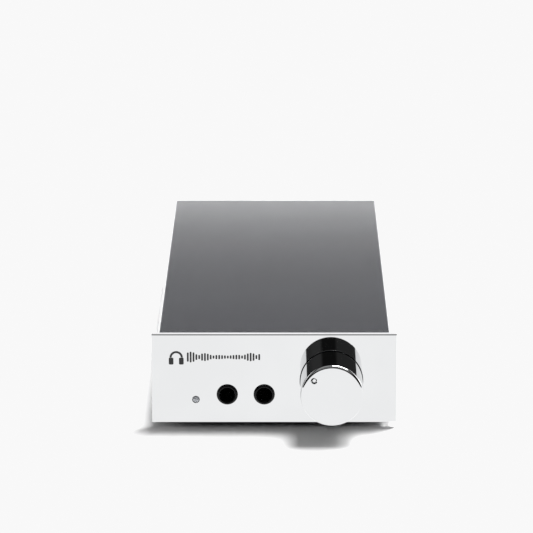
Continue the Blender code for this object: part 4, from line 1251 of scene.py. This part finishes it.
def make_floor(studio):
    """A wide pale floor that can't be seen from below, and that polished metal mirrors evenly lit.

    What the metal mirrors of it ends in front of the camera's side of the case, where the room is dark.
    """
    finish = Finish("studio_floor", Roughness=0.85, Specular_IOR_Level=0.2)
    finish.coloured((studio.floor_white,) * 3, drift=0.002, scale=3.0)
    tree = finish.tree
    geometry = tree.nodes.new("ShaderNodeNewGeometry").outputs
    along = add_node(tree, "ShaderNodeSeparateXYZ", {"Vector": geometry["Position"]}).outputs["Y"]
    path = tree.nodes.new("ShaderNodeLightPath").outputs
    seen_or_lighting = math_node(tree, "ADD", path["Is Camera Ray"], path["Diffuse Depth"])
    mirrored = math_node(tree, "LESS_THAN", seen_or_lighting, 0.5)
    lit = math_node(tree, "MULTIPLY", remap(tree, along, *MIRRORED_FLOOR_END), mirrored)
    shade = finish.shader.inputs["Base Color"].links[0].from_socket
    finish.feed(finish.mixed(mirrored, shade, UNLIT), "Base Color")
    finish.feed(lit, "Emission Color")
    finish.shader.inputs["Emission Strength"].default_value = studio.floor_glow
    finish.material.cycles.emission_sampling = "NONE"
    clear = tree.nodes.new("ShaderNodeBsdfTransparent").outputs["BSDF"]
    one_sided = {0: geometry["Backfacing"], 1: finish.shader.outputs["BSDF"], 2: clear}
    mix = add_node(tree, "ShaderNodeMixShader", one_sided)
    tree.links.new(mix.outputs["Shader"], tree.nodes["Material Output"].inputs["Surface"])
    bm = bmesh.new()
    bmesh.ops.create_circle(bm, cap_ends=True, radius=FLOOR_RADIUS, segments=FLOOR_SIDES)
    mesh = bpy.data.meshes.new("studio_floor")
    bm.to_mesh(mesh)
    bm.free()
    mesh.materials.append(finish.material)
    floor = bpy.data.objects.new("studio_floor", mesh)
    bpy.context.scene.collection.objects.link(floor)


def zone(tree, value, low, high, softness):
    """A mask that is 1 between low and high, with soft ends."""
    above = remap(tree, value, low - softness, low + softness)
    below = remap(tree, value, high - softness, high + softness, 1.0, 0.0)
    return math_node(tree, "MULTIPLY", above, below)


PALE_WALLS = (
    # X, Y and Z limits of the direction, softness and brightness
    ((-1.5, -0.5), (0.1, 1.5), (-1.5, 0.5), 0.15, 1.0),
    ((0.5, 1.5), (0.1, 1.5), (-1.5, 0.5), 0.15, 1.1),
    ((-0.5, 0.5), (0.1, 1.5), (0.283, 0.301), 0.003, 0.85),
    ((-0.75, 0.75), (-0.35, 0.6), (0.78, 1.5), 0.06, 0.22),
    ((-0.9, 0.9), (-1.5, -0.3), (0.5, 0.75), 0.06, 0.2),
    ((-0.3, -0.17), (-1.5, 0.0), (-0.1, 0.5), 0.03, 0.025),
    ((0.1, 0.45), (-1.5, 0.0), (-0.1, 0.5), 0.03, 0.016),
)


def make_room(studio):
    """The light that fills the room, from pale walls at the sides and back. The camera sees plain white."""
    world = bpy.data.worlds.new("studio_room")
    bpy.context.scene.world = world
    world.use_nodes = True
    tree = world.node_tree
    tree.nodes.clear()
    direction = tree.nodes.new("ShaderNodeTexCoord").outputs["Generated"]
    parts = add_node(tree, "ShaderNodeSeparateXYZ", {"Vector": direction}).outputs
    glow = math_node(tree, "ADD", ROOM_GLOW, 0.0)
    for *limits, softness, brightness in PALE_WALLS:
        wall = math_node(tree, "ADD", brightness, 0.0)
        for part, (low, high) in zip(parts, limits):
            wall = math_node(tree, "MULTIPLY", wall, zone(tree, part, low, high, softness))
        glow = math_node(tree, "ADD", glow, wall)
    level = math_node(tree, "MULTIPLY", glow, studio.room_strength)
    room = add_node(tree, "ShaderNodeBackground", {"Color": (1.0, 1.0, 1.0, 1.0), "Strength": level})
    seen = add_node(tree, "ShaderNodeBackground", {"Color": BACKDROP, "Strength": 1.0})
    from_camera = tree.nodes.new("ShaderNodeLightPath").outputs["Is Camera Ray"]
    mix = add_node(tree, "ShaderNodeMixShader", {0: from_camera, 1: room.outputs[0], 2: seen.outputs[0]})
    output = tree.nodes.new("ShaderNodeOutputWorld")
    tree.links.new(mix.outputs["Shader"], output.inputs["Surface"])


def add_light(name, kind, energy, place, towards=(0, 0, 0), **settings):
    """A light that stands at a place and shines towards another."""
    light = bpy.data.lights.new(name, kind)
    light.energy = energy
    for setting, value in settings.items():
        setattr(light, setting, value)
    made = bpy.data.objects.new(name, light)
    made.location = place
    made.rotation_euler = (Vector(towards) - Vector(place)).to_track_quat("-Z", "Y").to_euler()
    bpy.context.scene.collection.objects.link(made)
    return made


def make_lights(studio):
    """A soft key from the upper right, a light overhead, and a low strip behind that the cover mirrors."""
    key_place = Vector(studio.key_direction).normalized() * SUN_DISTANCE
    key = add_light("key_light", "SUN", studio.key_strength, key_place, angle=studio.key_spread)
    passed = bpy.data.collections.new("key_light_passes")
    for blocker in bpy.data.objects:
        if blocker.type == "MESH" and blocker.name.startswith(KEY_LIGHT_PASSES):
            passed.objects.link(blocker)
    for linked in passed.collection_objects:
        linked.light_linking.link_state = "EXCLUDE"
    key.light_linking.blocker_collection = passed
    overhead_place = Vector(studio.overhead_direction).normalized() * SUN_DISTANCE
    add_light("overhead_light", "SUN", studio.overhead_strength, overhead_place,
              angle=studio.overhead_spread)
    strip_place = studio.strip_place
    strip = add_light("strip_light", "AREA", studio.strip_strength, strip_place, (0, 0, strip_place[2]),
                      shape="RECTANGLE", size=studio.strip_width, size_y=2 * strip_place[2])
    strip.visible_camera = False
    strip.visible_diffuse = False


def set_white_level(view, level):
    """Shows light as it is, up to a white that stays a little below full brightness."""
    view.view_transform = "Standard"
    view.use_curve_mapping = True
    curves = view.curve_mapping
    whole = curves.curves[3]
    whole.points[0].location = (0.0, 0.0)
    whole.points[1].location = (level, level)
    for point in whole.points:
        point.handle_type = "VECTOR"
    whole.points.new(1.0, level).handle_type = "VECTOR"
    curves.update()


def make_camera(studio):
    lens = bpy.data.cameras.new("studio_camera")
    lens.lens = studio.lens
    lens.shift_x = studio.camera_shift
    camera = bpy.data.objects.new("studio_camera", lens)
    camera.location = studio.camera_place
    camera.rotation_euler = (math.pi / 2 - studio.camera_pitch, 0, 0)
    bpy.context.scene.collection.objects.link(camera)
    bpy.context.scene.camera = camera


# Operators

class AMPLIFIER_OT_finishes(bpy.types.Operator):
    """Make the shared surface effects and every finish"""

    bl_idname = "amplifier.make_finishes"
    bl_label = "Finishes"

    def execute(self, context):
        colours = context.scene.amplifier_colours
        for make_effect in (make_colour_drift, make_handling_marks, make_grain, make_edge_wear,
                            make_settled_dust):
            make_effect()
        for make_coloured in (make_polished_chrome, make_powder_coat, make_rubber, make_jack_plastic,
                              make_lamp_resin, make_gold):
            make_coloured(colours)
        for make_plain in (make_zinc_steel, make_black_steel, make_black_plastic, make_potting,
                           make_laminate, make_potentiometer_case, make_capacitor_sleeve,
                           make_heatsink_anodise, make_nickel):
            make_plain()
        make_channel_plastic("right_channel_plastic", colours.right_channel)
        make_channel_plastic("left_channel_plastic", colours.left_channel)
        make_ink("panel_ink", colours.ink)
        make_ink("pale_ink", colours.left_channel)
        return {"FINISHED"}


class AMPLIFIER_OT_front_panel(bpy.types.Operator):
    """Make the polished front panel"""

    bl_idname = "amplifier.make_front_panel"
    bl_label = "Front panel"

    def execute(self, context):
        make_front_panel(context.scene.amplifier_sizes)
        return {"FINISHED"}


class AMPLIFIER_OT_panel_marks(bpy.types.Operator):
    """Make the printed marks on the front panel"""

    bl_idname = "amplifier.make_panel_marks"
    bl_label = "Panel marks"

    def execute(self, context):
        make_panel_marks(context.scene.amplifier_sizes)
        return {"FINISHED"}


class AMPLIFIER_OT_volume_knob(bpy.types.Operator):
    """Make the volume knob and its grub screw"""

    bl_idname = "amplifier.make_volume_knob"
    bl_label = "Volume knob"

    def execute(self, context):
        make_volume_knob(context.scene.amplifier_sizes)
        return {"FINISHED"}


class AMPLIFIER_OT_headphone_jacks(bpy.types.Operator):
    """Make the two headphone jack bushes"""

    bl_idname = "amplifier.make_headphone_jacks"
    bl_label = "Headphone jacks"

    def execute(self, context):
        make_headphone_jacks()
        return {"FINISHED"}


class AMPLIFIER_OT_power_lamp(bpy.types.Operator):
    """Make the power lamp and its legs"""

    bl_idname = "amplifier.make_power_lamp"
    bl_label = "Power lamp"

    def execute(self, context):
        make_power_lamp()
        return {"FINISHED"}


class AMPLIFIER_OT_casing(bpy.types.Operator):
    """Make the cover, the tray and the feet"""

    bl_idname = "amplifier.make_casing"
    bl_label = "Casing"

    def execute(self, context):
        sizes = context.scene.amplifier_sizes
        make_top_cover(sizes)
        make_chassis_tray(sizes)
        make_feet()
        return {"FINISHED"}


class AMPLIFIER_OT_screws(bpy.types.Operator):
    """Make the screws that show outside the case"""

    bl_idname = "amplifier.make_screws"
    bl_label = "Screws"

    def execute(self, context):
        make_screws()
        return {"FINISHED"}


class AMPLIFIER_OT_rear_panel(bpy.types.Operator):
    """Make the rear panel"""

    bl_idname = "amplifier.make_rear_panel"
    bl_label = "Rear panel"

    def execute(self, context):
        make_rear_panel(context.scene.amplifier_sizes)
        return {"FINISHED"}


class AMPLIFIER_OT_mains_inlet(bpy.types.Operator):
    """Make the mains inlet and its pins"""

    bl_idname = "amplifier.make_mains_inlet"
    bl_label = "Mains inlet"

    def execute(self, context):
        make_mains_inlet()
        return {"FINISHED"}


class AMPLIFIER_OT_power_switch(bpy.types.Operator):
    """Make the power switch, its rocker and the rocker's marks"""

    bl_idname = "amplifier.make_power_switch"
    bl_label = "Power switch"

    def execute(self, context):
        make_power_switch()
        return {"FINISHED"}


class AMPLIFIER_OT_phono_sockets(bpy.types.Operator):
    """Make the four phono sockets"""

    bl_idname = "amplifier.make_phono_sockets"
    bl_label = "Phono sockets"

    def execute(self, context):
        make_phono_sockets()
        return {"FINISHED"}


class AMPLIFIER_OT_gain_switches(bpy.types.Operator):
    """Make the gain switch block and its sliders"""

    bl_idname = "amplifier.make_gain_switches"
    bl_label = "Gain switches"

    def execute(self, context):
        make_gain_switches()
        return {"FINISHED"}


class AMPLIFIER_OT_inner_pieces(bpy.types.Operator):
    """Give the pieces inside the case their finishes"""

    bl_idname = "amplifier.finish_inner_pieces"
    bl_label = "Inner pieces"

    def execute(self, context):
        finish_inner_pieces()
        return {"FINISHED"}


class AMPLIFIER_OT_studio(bpy.types.Operator):
    """Make the floor, the lights and the camera"""

    bl_idname = "amplifier.make_studio"
    bl_label = "Studio"

    def execute(self, context):
        studio = context.scene.amplifier_studio
        make_floor(studio)
        make_room(studio)
        make_lights(studio)
        make_camera(studio)
        set_white_level(context.scene.view_settings, studio.paper_white)
        return {"FINISHED"}


OPERATORS = (
    AMPLIFIER_OT_finishes,
    AMPLIFIER_OT_front_panel,
    AMPLIFIER_OT_panel_marks,
    AMPLIFIER_OT_volume_knob,
    AMPLIFIER_OT_headphone_jacks,
    AMPLIFIER_OT_power_lamp,
    AMPLIFIER_OT_casing,
    AMPLIFIER_OT_screws,
    AMPLIFIER_OT_rear_panel,
    AMPLIFIER_OT_mains_inlet,
    AMPLIFIER_OT_power_switch,
    AMPLIFIER_OT_phono_sockets,
    AMPLIFIER_OT_gain_switches,
    AMPLIFIER_OT_inner_pieces,
    AMPLIFIER_OT_studio,
)
SETTINGS = {
    "amplifier_sizes": AmplifierSizes,
    "amplifier_colours": AmplifierColours,
    "amplifier_studio": AmplifierStudio,
}


class AMPLIFIER_PT_panel(bpy.types.Panel):
    """Lists the pieces and their settings"""

    bl_idname = "AMPLIFIER_PT_panel"
    bl_label = "Headphone Amplifier"
    bl_space_type = "VIEW_3D"
    bl_region_type = "UI"
    bl_category = "Amplifier"

    def draw(self, context):
        for setting, group in SETTINGS.items():
            box = self.layout.box()
            for name in group.__annotations__:
                box.prop(getattr(context.scene, setting), name)
        for operator in OPERATORS:
            self.layout.operator(operator.bl_idname)


def register():
    for cls in (*SETTINGS.values(), *OPERATORS, AMPLIFIER_PT_panel):
        bpy.utils.register_class(cls)
    for name, group in SETTINGS.items():
        setattr(bpy.types.Scene, name, PointerProperty(type=group))


def unregister():
    for name in SETTINGS:
        delattr(bpy.types.Scene, name)
    for cls in reversed((*SETTINGS.values(), *OPERATORS, AMPLIFIER_PT_panel)):
        bpy.utils.unregister_class(cls)


def main():
    register()
    for operator in OPERATORS:
        group, name = operator.bl_idname.split(".")
        getattr(getattr(bpy.ops, group), name)()


if __name__ == "__main__":
    main()
